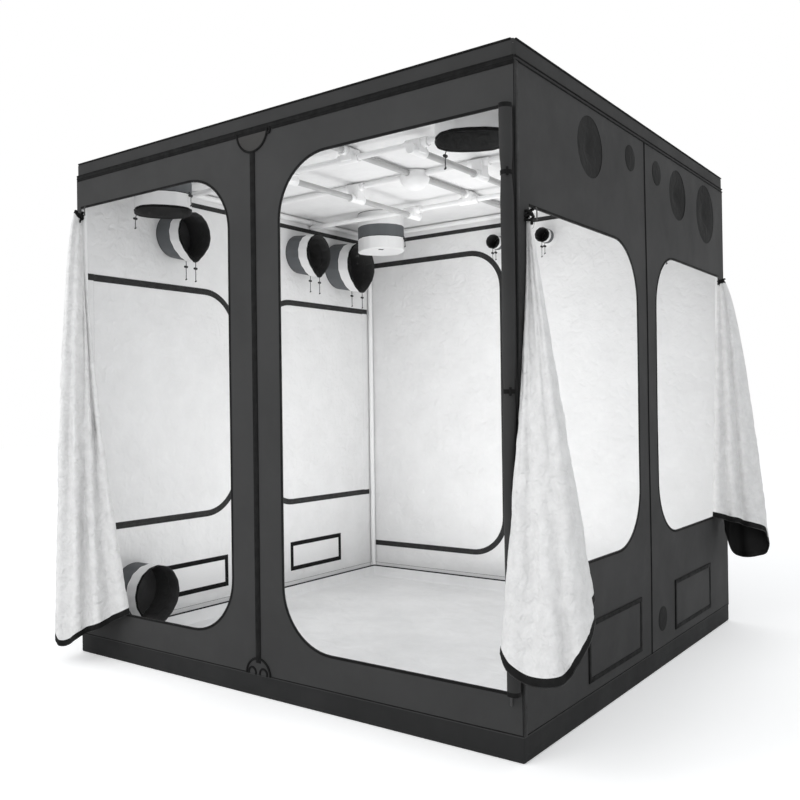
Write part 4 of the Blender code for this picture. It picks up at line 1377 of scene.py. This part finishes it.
DOOR_FOLDS = (
    (0.0, 0.0, 0), (0.048, 0.072, 4), (0.094, 0.134, 8), (0.089, 0.152, 10),
    (0.060, 0.128, 13), (0.03, 0.140, 16), (0.005, 0.108, 19), (-0.02, 0.115, 22),
    (-0.04, 0.085, 25), (-0.058, 0.076, 27), (-0.063, 0.050, 30), (-0.045, 0.034, 33),
    (-0.02, 0.062, 37), (0.0, 0.058, 40), (0.02, 0.088, 44), (0.045, 0.092, 47),
    (0.052, 0.108, 50), (0.03, 0.072, 55), (0.002, 0.032, 60), (-0.02, 0.022, 64),
    (-0.045, 0.006, 69), (-0.052, -0.014, 74), (-0.03, -0.016, 79), (-0.012, 0.004, 85),
    (-0.004, 0.018, 90),
)
FRONT_WINDOW_FOLDS = (
    (0.0, 0.0, 0), (0.065, 0.04, 6), (0.104, 0.085, 11), (0.110, 0.135, 15),
    (0.101, 0.175, 18), (0.088, 0.208, 22), (0.074, 0.232, 25), (0.040, 0.268, 29),
    (0.016, 0.255, 32), (-0.018, 0.268, 35), (-0.06, 0.222, 38), (-0.095, 0.205, 41),
    (-0.102, 0.158, 44), (-0.068, 0.138, 47), (-0.045, 0.188, 51), (-0.01, 0.166, 54),
    (0.015, 0.21, 57), (0.045, 0.165, 61), (0.075, 0.12, 65), (0.04, 0.10, 68),
    (0.01, 0.135, 72), (-0.022, 0.10, 76), (-0.044, 0.090, 78), (-0.02, 0.055, 81),
    (0.01, 0.075, 84), (0.035, 0.055, 90),
)
REAR_WINDOW_FOLDS = (
    (0.0, 0.0, 0), (0.018, 0.078, 4), (0.034, 0.145, 8), (0.015, 0.165, 10),
    (-0.015, 0.145, 12), (-0.045, 0.160, 14), (-0.07, 0.132, 16), (-0.10, 0.142, 18),
    (-0.13, 0.112, 20), (-0.145, 0.085, 22), (-0.15, 0.058, 28), (-0.138, 0.045, 32),
    (-0.085, 0.062, 36), (-0.05, 0.042, 40), (-0.022, 0.060, 44), (-0.004, 0.045, 49),
    (-0.03, 0.018, 54), (-0.07, 0.025, 59), (-0.11, 0.006, 64), (-0.13, -0.016, 69),
    (-0.10, -0.032, 74), (-0.06, -0.010, 79), (-0.03, -0.012, 84), (-0.012, 0.006, 90),
)


@dataclass
class HungPanel:
    """A door or window that hangs open from its hinge edge, lining outward.

    The folds are points of the hem seen from above, each with its angle in the flat panel.
    """

    node: str
    side: Side
    opening: Opening
    folds: Sequence[tuple[float, float, float]]
    facing: float
    spread: tuple[float, float]
    hem_shift: tuple[float, float, float]
    bow: float = 0.0
    lean: float = 0.0
    start: float = 0.03
    columns: int = 230
    lines: int = 84
    hem: float = 0.022
    pleat: float = 0.0036
    bunch: float = 0.05
    seam: int = 14
    ridge: float = 0.0055
    fine: float = 0.0035
    crumple: float = 0.005
    settle: float = 0.004

    def curve(self) -> list[tuple[float, ...]]:
        """Return the fold line as a smooth curve in even steps."""
        folds = self.folds
        first = tuple(2 * p - q for p, q in zip(folds[0], folds[1]))
        last = tuple(2 * p - q for p, q in zip(folds[-1], folds[-2]))
        ends = [first, *folds, last]
        fine = []
        for index in range(len(folds) - 1):
            a, b, c, d = ends[index:index + 4]
            for step in range(12):
                t = step / 12
                fine.append(tuple(
                    0.5 * (2 * q + (r - p) * t + (2 * p - 5 * q + 4 * r - s) * t * t
                           + (3 * q - p - 3 * r + s) * t * t * t)
                    for p, q, r, s in zip(a, b, c, d)))
        fine.append(tuple(folds[-1]))
        reached = [0.0]
        for before, after in zip(fine, fine[1:]):
            reached.append(reached[-1] + math.dist(before[:2], after[:2]))
        points = []
        index = 0
        for step in range(self.columns):
            wanted = reached[-1] * step / (self.columns - 1)
            while index < len(fine) - 2 and reached[index + 1] < wanted:
                index += 1
            part = (wanted - reached[index]) / (reached[index + 1] - reached[index])
            points.append(tuple(p + (q - p) * part for p, q in zip(fine[index], fine[index + 1])))
        return points

    def reach(self, angle: float) -> float:
        """Return the length of the flat panel along a ray from the top of its hinge edge."""
        width, height = self.opening.cut
        corner = self.opening.corner
        across, down = math.sin(angle), math.cos(angle)
        reach = min(height / max(down, 1e-9), width / max(across, 1e-9))
        x, z = across * reach, down * reach
        for centre in (corner, height - corner):
            outside = z < centre if centre == corner else z > centre
            if x > width - corner and outside:
                along = across * (width - corner) + down * centre
                apart = (width - corner) ** 2 + centre ** 2 - corner ** 2
                reach = along + math.sqrt(max(along * along - apart, 0))
        return reach

    def surface(self) -> list[list[Vector]]:
        """Return the cloth's points, one row to each ray from the hung corner."""
        facing = math.radians(self.facing)
        rows = []
        middle, swing = self.spread
        shift, centre, width = self.hem_shift
        for index, (across, toward, angle) in enumerate(self.curve()):
            reach = self.reach(math.radians(min(max(angle, 0), 90)))
            reach += shift * math.exp(-((angle - centre) / width) ** 2)
            power = middle + swing * min(1.0, max(-1.0, across / 0.05))
            inward = toward * math.cos(facing) + across * math.sin(facing)
            outward = toward * math.sin(facing) - across * math.cos(facing)
            last = reach - self.hem
            steps = [self.start + (last - self.start) * step / (self.lines - 1) for step in range(self.lines)]
            row = []
            for along in steps + [reach - self.hem / 2, reach]:
                share = along / reach
                bunched = self.bunch * (1 - math.exp(-share / 0.05)) * (1 - share)
                spread = reach * ((1 - self.bunch) * share ** power + bunched + self.bunch * share)
                x = inward * spread - self.bow * 4 * share * (1 - share)
                x -= self.lean * min(1.0, index / self.seam) * math.exp(-share / 0.12)
                y = outward * spread
                down = math.sqrt(max(along * along - x * x - y * y, (0.4 * along) ** 2))
                row.append(Vector((x, -y, -down)))
            rows.append(row)
        return self.creased(rows)

    def creased(self, rows: list[list[Vector]]) -> list[list[Vector]]:
        """Return the points with fine pleats and crumples along the folds."""
        made = []
        path = 0.0
        for index, row in enumerate(rows):
            before, after = rows[max(index - 1, 0)], rows[min(index + 1, len(rows) - 1)]
            path += (row[-1] - before[-1]).length
            held = min(1.0, index / self.seam)
            line = []
            for step, point in enumerate(row):
                along = row[min(step + 1, len(row) - 1)] - row[max(step - 1, 0)]
                normal = along.cross(after[step] - before[step]).normalized()
                down = point.length
                grow = min(1.0, down / 0.8) ** 1.1
                pleat = math.sin(2 * math.pi * path / 0.085 + 2.2 * math.sin(2.6 * down + self.facing))
                crumple = noise.noise(Vector((path * 8, down * 5, self.facing)))
                ridge = 0.5 - abs(noise.noise(Vector((path * 15, down * 11 + path * 6, self.facing + 5))))
                fine = 0.4 - abs(noise.noise(Vector((path * 34, down * 27 - path * 9, self.facing + 9))))
                shift = held * grow * (self.pleat * pleat * (0.6 + crumple) + self.crumple * crumple
                                       + self.ridge * ridge + self.fine * fine - self.settle)
                line.append(point + Vector((0, -GAP - 0.0012, 0)) + normal * shift)
            made.append(line)
        return made

    def build(self) -> None:
        """Make the cloth, its bound edge and the zip's other half along it."""
        rows = self.surface()
        flip = self.opening.sign < 0
        if flip:
            rows = [[Vector((-p.x, p.y, p.z)) for p in row] for row in rows]
        place = self.side.matrix() @ Matrix.Translation((self.opening.hinge, 0, self.opening.high))
        obj = Shop.rows(self.node + "_cloth", rows, flip=flip)
        top, count = len(rows) - 1, len(rows[0]) - 1

        def bound(face: Face) -> int:
            """Return 2 for the faces of the bound edges."""
            line, step = divmod(face.index, count)
            return 2 if step >= count - 2 or step < 1 or line > top - 4 else 0

        # The flaps' lining finish is painted shade, a darker copy of the walls' lining.
        # The flaps' outside finish is painted shade, darker than the walls' own canvas.
        Shop.paint(obj, ["flap_outside", "flap_lining", "black_binding"], bound)
        Shop.thicken(obj, 0.0014, inner=1, rim=2)
        Shop.smooth(obj, 80)
        Shop.place(obj, place)
        Shop.done(obj, self.node, "dark_canvas")
        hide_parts(self.node)
        self.opening.cut
        self.opening.area()
        line = [place @ row[-1] for row in rows] + [place @ point for point in reversed(rows[-1][:-1])]
        teeth = Shop.tube(self.node + "_zip_edge", line, 0.0020)
        Shop.dress(teeth, ["zip_teeth"], angle=60, body=self.node)
        self.knot(place @ (sum((row[1] for row in rows), Vector()) / len(rows)))

    def knot(self, place: Vector) -> None:
        """Make the tie that bunches the panel's hung corner."""
        wound = 3
        count = 20 * wound
        line = []
        for step in range(count + 1):
            angle = 2 * math.pi * wound * step / count
            wide = 0.0125 + 0.002 * math.sin(2.6 * angle)
            rise = 0.026 - 0.030 * step / count + 0.003 * math.sin(1.7 * angle)
            line.append(place + Vector((wide * math.cos(angle), wide * math.sin(angle), rise)))
        for drop, sway in ((0.007, 0.009), (0.016, 0.012)):
            line.append(line[count] + Vector((sway * 0.5, -sway, -drop)))
        tie = Shop.tube(self.node + "_corner_tie", line, 0.0042)
        Shop.dress(tie, ["black_binding"], angle=60, body=self.node)


@dataclass
class RolledPanel:
    """The front right door, rolled up beside its hinge edge and tied."""

    node: str = "front_right_door"
    opening: Opening = DOORS[1]
    centre: tuple[float, float] = (0.98, -0.0203)
    outer: float = 0.0190
    inner: float = 0.0035
    lines: int = 44
    around: int = 26
    ties: tuple[float, ...] = (0.42, 1.02, 1.62)
    drawn_in: float = 0.22

    def squeeze(self, z: float) -> float:
        """Return how far the ties draw the roll in at a height."""
        return 1 - sum(self.drawn_in * math.exp(-((z - tie) / 0.035) ** 2) for tie in self.ties)

    def build(self) -> None:
        """Make the roll as one wound sheet, and its ties."""
        width, _ = self.opening.cut
        wound = width / (math.pi * (self.outer + self.inner))
        count = round(wound * self.around)
        rows = []
        corner = self.opening.corner
        for line in (0, 0.35, *range(1, self.lines), self.lines - 0.35, self.lines):
            row = []
            for step in range(count + 1):
                share = step / count
                radius = math.sqrt(self.inner ** 2 + share * (self.outer ** 2 - self.inner ** 2))
                angle = 2 * math.pi * wound * (radius - self.inner) / (self.outer - self.inner)
                beyond = max(0.0, corner - share * width)
                short = corner - math.sqrt(max(0.0, corner ** 2 - beyond ** 2))
                low, high = self.opening.low + short, self.opening.high - short
                z = low + (high - low) * line / self.lines
                wave = 1 + 0.05 * math.sin(3 * angle % (2 * math.pi) + 2.2 * z) * share
                wide = radius * self.squeeze(z) * wave
                way = math.pi / 2 - (2 * math.pi * wound - angle)
                lean = 0.0012 * math.sin(6 * z)
                x, y = self.centre[0] + lean + wide * math.cos(way), self.centre[1] + wide * math.sin(way)
                row.append(Vector((x, y, z)))
            rows.append(row)
        obj = Shop.rows(self.node + "_roll", rows)
        face = obj.data.polygons[count * 10 + count - 3]
        if (face.center - Vector((*self.centre, face.center.z))).dot(face.normal) < 0:
            obj.data.flip_normals()
        ends = (0, self.lines + 1)
        Shop.paint(obj, ["roof_canvas", "white_lining", "black_binding"],
                   lambda face: 2 if face.index // count in ends else 0)
        Shop.thicken(obj, 0.0006, inner=1, rim=2)
        Shop.smooth(obj, 60)
        Shop.place(obj, Side.FRONT.matrix())
        Shop.done(obj, self.node, "dark_canvas")
        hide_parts(self.node)
        self.opening.cut
        self.opening.area()
        for index, z in enumerate(self.ties):
            self.tie(f"{self.node}_tie_{index + 1}", z)

    def tie(self, name: str, z: float) -> None:
        """Make one tie: a strap round the roll with a toggle through its loop."""
        loop = circle((0, 0), self.outer * self.squeeze(z) + 0.0012, 32, 80)
        strap = Shop.sweep(name, loop, tape(-0.0007, 0.0007, -0.006, 0.006), closed=True)
        for vert in strap.data.vertices:
            vert.co = Vector((vert.co.x, vert.co.z, vert.co.y))
        strap.data.flip_normals()
        toggle = Shop.solid(bpy.ops.mesh.primitive_cylinder_add, vertices=12, radius=0.0038, depth=0.024,
                            location=(0.012, -0.016, 0))
        with Shop.editing(toggle):
            bpy.ops.mesh.bevel(offset=0.0014, segments=2)
        obj = Shop.join(name, [strap, toggle])
        Shop.place(obj, Side.FRONT.matrix() @ Matrix.Translation((*self.centre, z)))
        Shop.dress(obj, ["black_binding"], body=self.node)


@dataclass
class Vent:
    """A low vent: net in the wall, a flap outside and bound edges on both faces."""

    node: str
    side: Side
    x: float
    columns: int = 24
    lines: int = 8
    inset: float = 0.006

    def loop(self, width: float, height: float) -> Points:
        """Return the outline of a rectangle centred on the vent, in short steps."""
        return spaced(oblong(self.x, VENT_HIGH, width, height), 0.03, closed=True)

    def build(self) -> None:
        """Make the flap, its piping, the net and the frame inside."""
        w, d, inset = FLAP[0] / 2, FLAP[1] / 2, self.inset
        rows = []
        for line in range(self.lines + 1):
            z = VENT_HIGH - d + 2 * d * line / self.lines
            row = []
            for step in range(self.columns + 1):
                crown = math.sin(math.pi * step / self.columns) * math.sin(math.pi * line / self.lines)
                row.append(Vector((self.x - w + 2 * w * step / self.columns, -0.0022 - 0.0008 * crown, z)))
            rows.append(row)
        flap = Shop.rows(self.node + "_cloth", rows)
        Shop.outward(flap, 1)
        Shop.thicken(flap, 0.0012)
        Shop.dress(flap, ["outer_canvas"], self.side, body=self.node, slot="dark_canvas")
        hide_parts(self.node)
        loop = self.loop(FLAP[0] - inset, FLAP[1] - inset)
        piping = Shop.sweep(self.node + "_piping", loop, tape(-0.008, 0.008, -0.0044, -0.0006), closed=True)
        Shop.dress(piping, ["black_binding"], self.side, 60, self.node)
        wide, tall = SCREEN[0] / 2 + inset, SCREEN[1] / 2 + inset
        line = [(self.x - wide, VENT_HIGH), (self.x, VENT_HIGH), (self.x + wide, VENT_HIGH)]
        net = Shop.sweep(self.node + "_net", line, tape(-tall, tall, CLOTH * 0.6, CLOTH * 1.1))
        Shop.dress(net, ["vent_net"], self.side, None, slot="dark_canvas")
        section = tape(-0.012, 0.010, -0.0008, CLOTH + 0.0014)
        edge = Shop.sweep(self.node + "_frame", self.loop(*SCREEN), section, sign=-1, closed=True)
        Shop.dress(edge, ["black_binding"], self.side)


@dataclass
class Trim:
    """Seams, piping, patches and the inner seam tape of one wall."""

    side: Side
    drop: float = 0.001

    def run(
        self, name: str, path: Flat, section: Flat, finish: str = "black_binding", closed: bool = False
    ) -> None:
        """Make one strip or bead along a path of this wall."""
        strip = Shop.sweep(f"{self.side.label}_{name}", spaced(path, 0.03), section, closed=closed)
        Shop.dress(strip, [finish], self.side, 50)

    def across(
        self, name: str, z: float, section: Flat, inset: float = 0.003, finish: str = "black_binding"
    ) -> None:
        """Make a strip across the whole wall at a height."""
        end = HALF - inset
        self.run(name, [(-end, z), (end, z)], section, finish)

    def upright(self, name: str, x: float, section: Flat, finish: str = "black_binding") -> None:
        """Make a strip from the band to the skirt."""
        self.run(name, [(x, BAND_HIGH), (x, SKIRT_LOW)], section, finish)

    def build(self) -> None:
        """Make the seams that every wall has, then those of its kind."""
        self.across("skirt_seam_upper", SKIRT_LOW + 0.011, bead(0.0026, -0.0006))
        if self.side.posted:
            self.across("skirt_seam_band", SKIRT_LOW - self.drop, tape(-0.011, 0.011, -0.0022, 0.0))
        self.across("skirt_seam_lower", SKIRT_LOW - self.drop, bead(0.0028, -0.0006))
        self.across("band_seam", BAND_HIGH + self.drop, bead(0.0018, 0.0))
        self.across("roof_piping", HEIGHT - 0.006, bead(0.0034, 0.0012), 0.012)
        self.upright("corner_piping", -HALF + 0.0032, bead(0.0038, 0.0032))
        if self.side is Side.RIGHT:
            self.upright("corner_tape", -HALF + 0.009, tape(-0.008, 0.008, -0.002, 0.0), "zip_tape")
        section = tape(-0.011, 0.011, CLOTH, CLOTH + 0.0014)
        self.across("inner_seam_tape", SKIRT_LOW + 0.002, section, 0.03, "zip_tape")
        if self.side.posted:
            self.middle()
        else:
            self.upright("middle_seam", 0, bead(0.0030, -0.0006))

    def middle(self) -> None:
        """Make the strip over the middle post, with its patches above and below."""
        self.run("middle_strip", [(0, 0.115), (0, SKIRT_LOW - 0.068)], tape(-0.0115, 0.0115, -0.0028, 0.0))
        top = arc((0, SKIRT_LOW), 0.072, 180, 360, 24)
        low = arc((0, BAND_HIGH), 0.055, 0, 180, 20)
        for label, outline, finish in (("upper", top, "patch_canvas"), ("lower", low, "outer_canvas")):
            patch = Shop.prisms(f"{self.side.label}_{label}_patch", [outline], -0.0016, 0.0)
            Shop.dress(patch, [finish], self.side, slot="dark_canvas")
            self.run(label + "_patch_piping", outline, bead(0.0038, -0.0020))
        knot = [(0.078 + 0.007 * math.cos(t), SKIRT_LOW - 0.012 + 0.010 * math.sin(t)) for t in turns(16)]
        self.run("patch_knot", knot, bead(0.0032, -0.003), closed=True)
        for label, x in (("left", -0.028), ("right", 0.024)):
            loop = arc((x, BAND_HIGH + 0.006), 0.017, 200, -20, 16)
            self.run(f"lower_loop_{label}", loop, bead(0.0034, -0.0030))


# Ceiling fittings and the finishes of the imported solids


@dataclass
class Clamp:
    """A white clip that ties two crossing ceiling poles, one along x and one along y."""

    name: str
    x: float
    y: float
    high_x: float
    high_y: float
    radius: float = 0.019
    length: float = 0.096
    block: float = 0.052

    def sleeve(self, z: float, turn: tuple[float, float, float]) -> Obj:
        """Make the sleeve round one of the two poles."""
        obj = Shop.solid(bpy.ops.mesh.primitive_cylinder_add, vertices=24, radius=self.radius,
                         depth=self.length, location=(self.x, self.y, z), rotation=turn)
        with Shop.editing(obj, lambda face: len(face.verts) > 4):
            bpy.ops.mesh.inset(thickness=0.0025, depth=0.0)
            bpy.ops.mesh.bevel(offset=0.0008, segments=1)
        return obj

    def build(self) -> None:
        """Make both sleeves and the block between them."""
        middle = (self.x, self.y, (self.high_x + self.high_y) / 2)
        size = (self.block, self.block, abs(self.high_x - self.high_y) + 0.02)
        block = Shop.solid(bpy.ops.mesh.primitive_cube_add, size=1, location=middle, scale=size)
        with Shop.editing(block):
            bpy.ops.mesh.bevel(offset=0.004, segments=2)
        quarter = math.pi / 2
        sleeves = [self.sleeve(self.high_x, (0, quarter, 0)), self.sleeve(self.high_y, (quarter, 0, 0))]
        Shop.dress(Shop.join(self.name, [*sleeves, block]), ["white_plastic"], slot="white_plastic")


@dataclass
class HubCover:
    """The round cover under the ceiling's hub."""

    radius: float = 0.064
    flatness: float = 0.82
    drop: float = 0.012

    def build(self) -> None:
        """Make the cover from half a ball."""
        obj = Shop.solid(bpy.ops.mesh.primitive_uv_sphere_add, segments=40, ring_count=20, radius=self.radius)
        with Shop.editing(obj):
            bpy.ops.mesh.select_all(action="SELECT")
            bpy.ops.mesh.bisect(plane_co=(0, 0, -0.004), plane_no=(0, 0, 1), clear_outer=True, use_fill=True)
        place = Matrix.Translation((0, 0, POLE_HIGH - self.drop))
        Shop.place(obj, place @ Matrix.Diagonal((1, 1, self.flatness, 1)))
        obj.name = "hub_cover"
        Shop.dress(obj, ["white_plastic"], angle=40, slot="white_plastic")


POLE_HIGH = HEIGHT - 0.0193
POLE_MIDDLE = POLE_HIGH - 0.027
POLE_LOW = POLE_HIGH - 0.054
CLAMPS = (
    Clamp("front_arm_clip", 0.0, -0.46, POLE_MIDDLE, POLE_HIGH),
    Clamp("rear_arm_clip", 0.0, 0.46, POLE_MIDDLE, POLE_HIGH),
    Clamp("left_bar_clip", -0.32, 0.0, POLE_HIGH, POLE_LOW),
    Clamp("right_bar_clip", 0.32, 0.0, POLE_HIGH, POLE_LOW),
    Clamp("left_front_crossing_clip", -0.32, -0.46, POLE_MIDDLE, POLE_LOW),
    Clamp("right_front_crossing_clip", 0.32, -0.46, POLE_MIDDLE, POLE_LOW),
    Clamp("left_rear_crossing_clip", -0.32, 0.46, POLE_MIDDLE, POLE_LOW),
    Clamp("right_rear_crossing_clip", 0.32, 0.46, POLE_MIDDLE, POLE_LOW),
)


class FrameFinish:
    """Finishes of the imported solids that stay: poles, connectors, hub and bars."""

    # The ceiling arm and the hanging bars are white steel like the other poles; their darker steel is painted
    # shade.
    grey = ("ceiling_arm", "hanging_bar_left", "hanging_bar_right")
    steel = ("corner_post", "middle_post", "top_rail", "base_rail", "ceiling_bar", "hanging_bar")

    def finish(self, name: str) -> str:
        """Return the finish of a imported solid, by its name."""
        if name.startswith(self.grey):
            return "grey_steel"
        return "white_steel" if name.startswith(self.steel) else "white_plastic"

    def build(self) -> None:
        """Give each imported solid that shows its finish."""
        for name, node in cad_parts.items():
            if node.hide_render:
                continue
            made = Shop.finishes[self.finish(name)]
            if not node.material_slots:
                node.data.materials.append(made)
            for slot in node.material_slots:
                slot.material = made
            LOG.info("%s keeps its solid", name)


class Studio:
    """The camera, the floor and the lights."""

    place = Vector((2.13501674, -3.20238138, 0.98266786))
    azimuth = -37.41509905
    elevation = 0.46708018
    roll = -0.77065596
    lens = 40.078
    sensor = 36.0
    shift = 0.05
    reach = 60.0
    glow = 0.3
    lamps = (
        ("key", "AREA", (-0.6, -6.0, 4.4), 124.0, 4.0, (0, 0, 1)),
        ("fill", "AREA", (-5.0, -4.0, 3.0), 60.0, 4.0, (0, 0, 1)),
        ("side", "AREA", (6.0, -1.5, 3.0), 22.0, 3.0, (0, 0, 1)),
        ("inside", "POINT", (0.0, 0.35, 1.40), 9.5, 0.6, (0, 0, 1)),
        ("inside_up", "AREA", (0.05, 0.05, 0.10), 11.0, 1.2, (0.1, 0.05, 2.0)),
    )

    def camera(self) -> None:
        """Make the camera at the photograph's place."""
        az, el, roll = (math.radians(a) for a in (self.azimuth, self.elevation, self.roll))
        ahead = Vector((math.sin(az) * math.cos(el), math.cos(az) * math.cos(el), math.sin(el)))
        right = ahead.cross(Vector((0, 0, 1))).normalized()
        up = right.cross(ahead)
        level = right * math.cos(roll) + up * math.sin(roll)
        above = up * math.cos(roll) - right * math.sin(roll)
        data = bpy.data.cameras.new("studio_camera")
        data.lens = self.lens
        data.sensor_width = self.sensor
        data.shift_x = self.shift
        data.clip_end = self.reach
        cam = bpy.data.objects.new("studio_camera", data)
        bpy.context.scene.collection.objects.link(cam)
        turned = Matrix((level, above, -ahead)).transposed().to_4x4()
        cam.matrix_world = Matrix.Translation(self.place) @ turned
        bpy.context.scene.camera = cam

    def lamp(
        self,
        name: str,
        kind: str,
        place: tuple[float, float, float],
        power: float,
        size: float,
        aim: tuple[float, float, float],
    ) -> None:
        """Add a soft lamp that the camera doesn't see."""
        data = bpy.data.lights.new(name, kind)
        data.energy = power
        if kind == "AREA":
            data.size = size
        else:
            data.shadow_soft_size = size
        obj = bpy.data.objects.new(name, data)
        obj.location = place
        obj.rotation_euler = (Vector(aim) - Vector(place)).to_track_quat("-Z", "Y").to_euler()
        obj.visible_camera = False
        obj.visible_glossy = False
        bpy.context.scene.collection.objects.link(obj)

    def world(self) -> None:
        """Light the tent evenly and show white behind it."""
        world = bpy.data.worlds.new("studio_world")
        bpy.context.scene.world = world
        world.use_nodes = True
        tree = world.node_tree
        tree.nodes.clear()
        path = wire(tree, "LightPath", {}).outputs
        seen = maths(tree, "MAXIMUM", path["Is Camera Ray"], path["Is Glossy Ray"])
        seen = maths(tree, "MAXIMUM", seen, path["Is Transmission Ray"])
        soft = wire(tree, "Background", {"Color": (0.97, 0.985, 1.0, 1.0), "Strength": 0.82})
        white = wire(tree, "Background", {"Color": (1, 1, 1, 1)})
        mix = wire(tree, "MixShader", {0: seen, 1: soft.outputs[0], 2: white.outputs[0]})
        wire(tree, "OutputWorld", {0: mix.outputs[0]})

    def floor(self) -> None:
        """Make the pale floor, which keeps the tent's shadow."""
        floor = Shop.solid(bpy.ops.mesh.primitive_plane_add, size=40, location=(0, 0, -0.0005))
        floor.name = "studio_floor"
        made = bpy.data.materials.new("studio_floor")
        made.use_nodes = True
        tree = made.node_tree
        tree.nodes.clear()
        diffuse = wire(tree, "BsdfDiffuse", {"Color": (0.9, 0.9, 0.9, 1)})
        seen = wire(tree, "LightPath", {}).outputs["Is Camera Ray"]
        glow = wire(tree, "Emission", {"Strength": maths(tree, "MULTIPLY", seen, self.glow)})
        both = wire(tree, "AddShader", {0: diffuse.outputs[0], 1: glow.outputs[0]})
        wire(tree, "OutputMaterial", {0: both.outputs[0]})
        floor.data.materials.append(made)

    def build(self) -> None:
        """Make the lights and the floor."""
        bpy.context.scene.view_settings.view_transform = "Standard"
        self.world()
        self.floor()
        for lamp in self.lamps:
            self.lamp(*lamp)


def main() -> None:
    """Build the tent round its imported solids, one sub-assembly after another."""
    logging.basicConfig(level=logging.INFO, format="%(message)s")
    studio = Studio()
    studio.camera()
    Shop.finishes = Finishes()
    for source in (*SLEEVES, *PORTS):
        for tail in source.tails():
            tail.build()
    openings = {Side.FRONT: DOORS, Side.RIGHT: WINDOWS, Side.BACK: DOORS[1:], Side.LEFT: WINDOWS}
    walls = {side: Wall(side, cut) for side, cut in openings.items()}
    for wall in walls.values():
        wall.build()
    closed = (
        ("back_left_door", Side.BACK, DOORS[1]),
        ("left_front_window", Side.LEFT, WINDOWS[1]),
        ("left_rear_window", Side.LEFT, WINDOWS[0]),
    )
    for node, side, opening in closed:
        walls[side].closed_panel(node, opening)
        Zip(side, opening, node, node).build()
    hung = (
        HungPanel("front_left_door", Side.FRONT, DOORS[0], DOOR_FOLDS, 35.0,
                  spread=(0.95, 0.55), hem_shift=(-0.030, 22.0, 4.0)),
        HungPanel("right_front_window", Side.RIGHT, WINDOWS[0], FRONT_WINDOW_FOLDS, 142.5,
                  spread=(1.23, -0.17), hem_shift=(0.034, 36.0, 9.0), bow=0.002, lean=0.018, bunch=0.02),
        HungPanel("right_rear_window", Side.RIGHT, WINDOWS[1], REAR_WINDOW_FOLDS, 15.4,
                  spread=(0.70, 0.10), hem_shift=(-0.022, 36.0, 5.0)),
    )
    for panel in hung:
        panel.build()
        Zip(panel.side, panel.opening, panel.node, None).build()
    rolled = RolledPanel()
    rolled.build()
    Zip(Side.FRONT, rolled.opening, rolled.node, None, park=0.010).build()
    fittings = [*(Vent(*vent) for vent in VENTS), *(Trim(side) for side in Side), *CLAMPS, HubCover()]
    for piece in (Roof(), Ground(), *SLEEVES, *PORTS, *fittings, FrameFinish(), studio):
        piece.build()


if __name__ == "__main__":
    main()
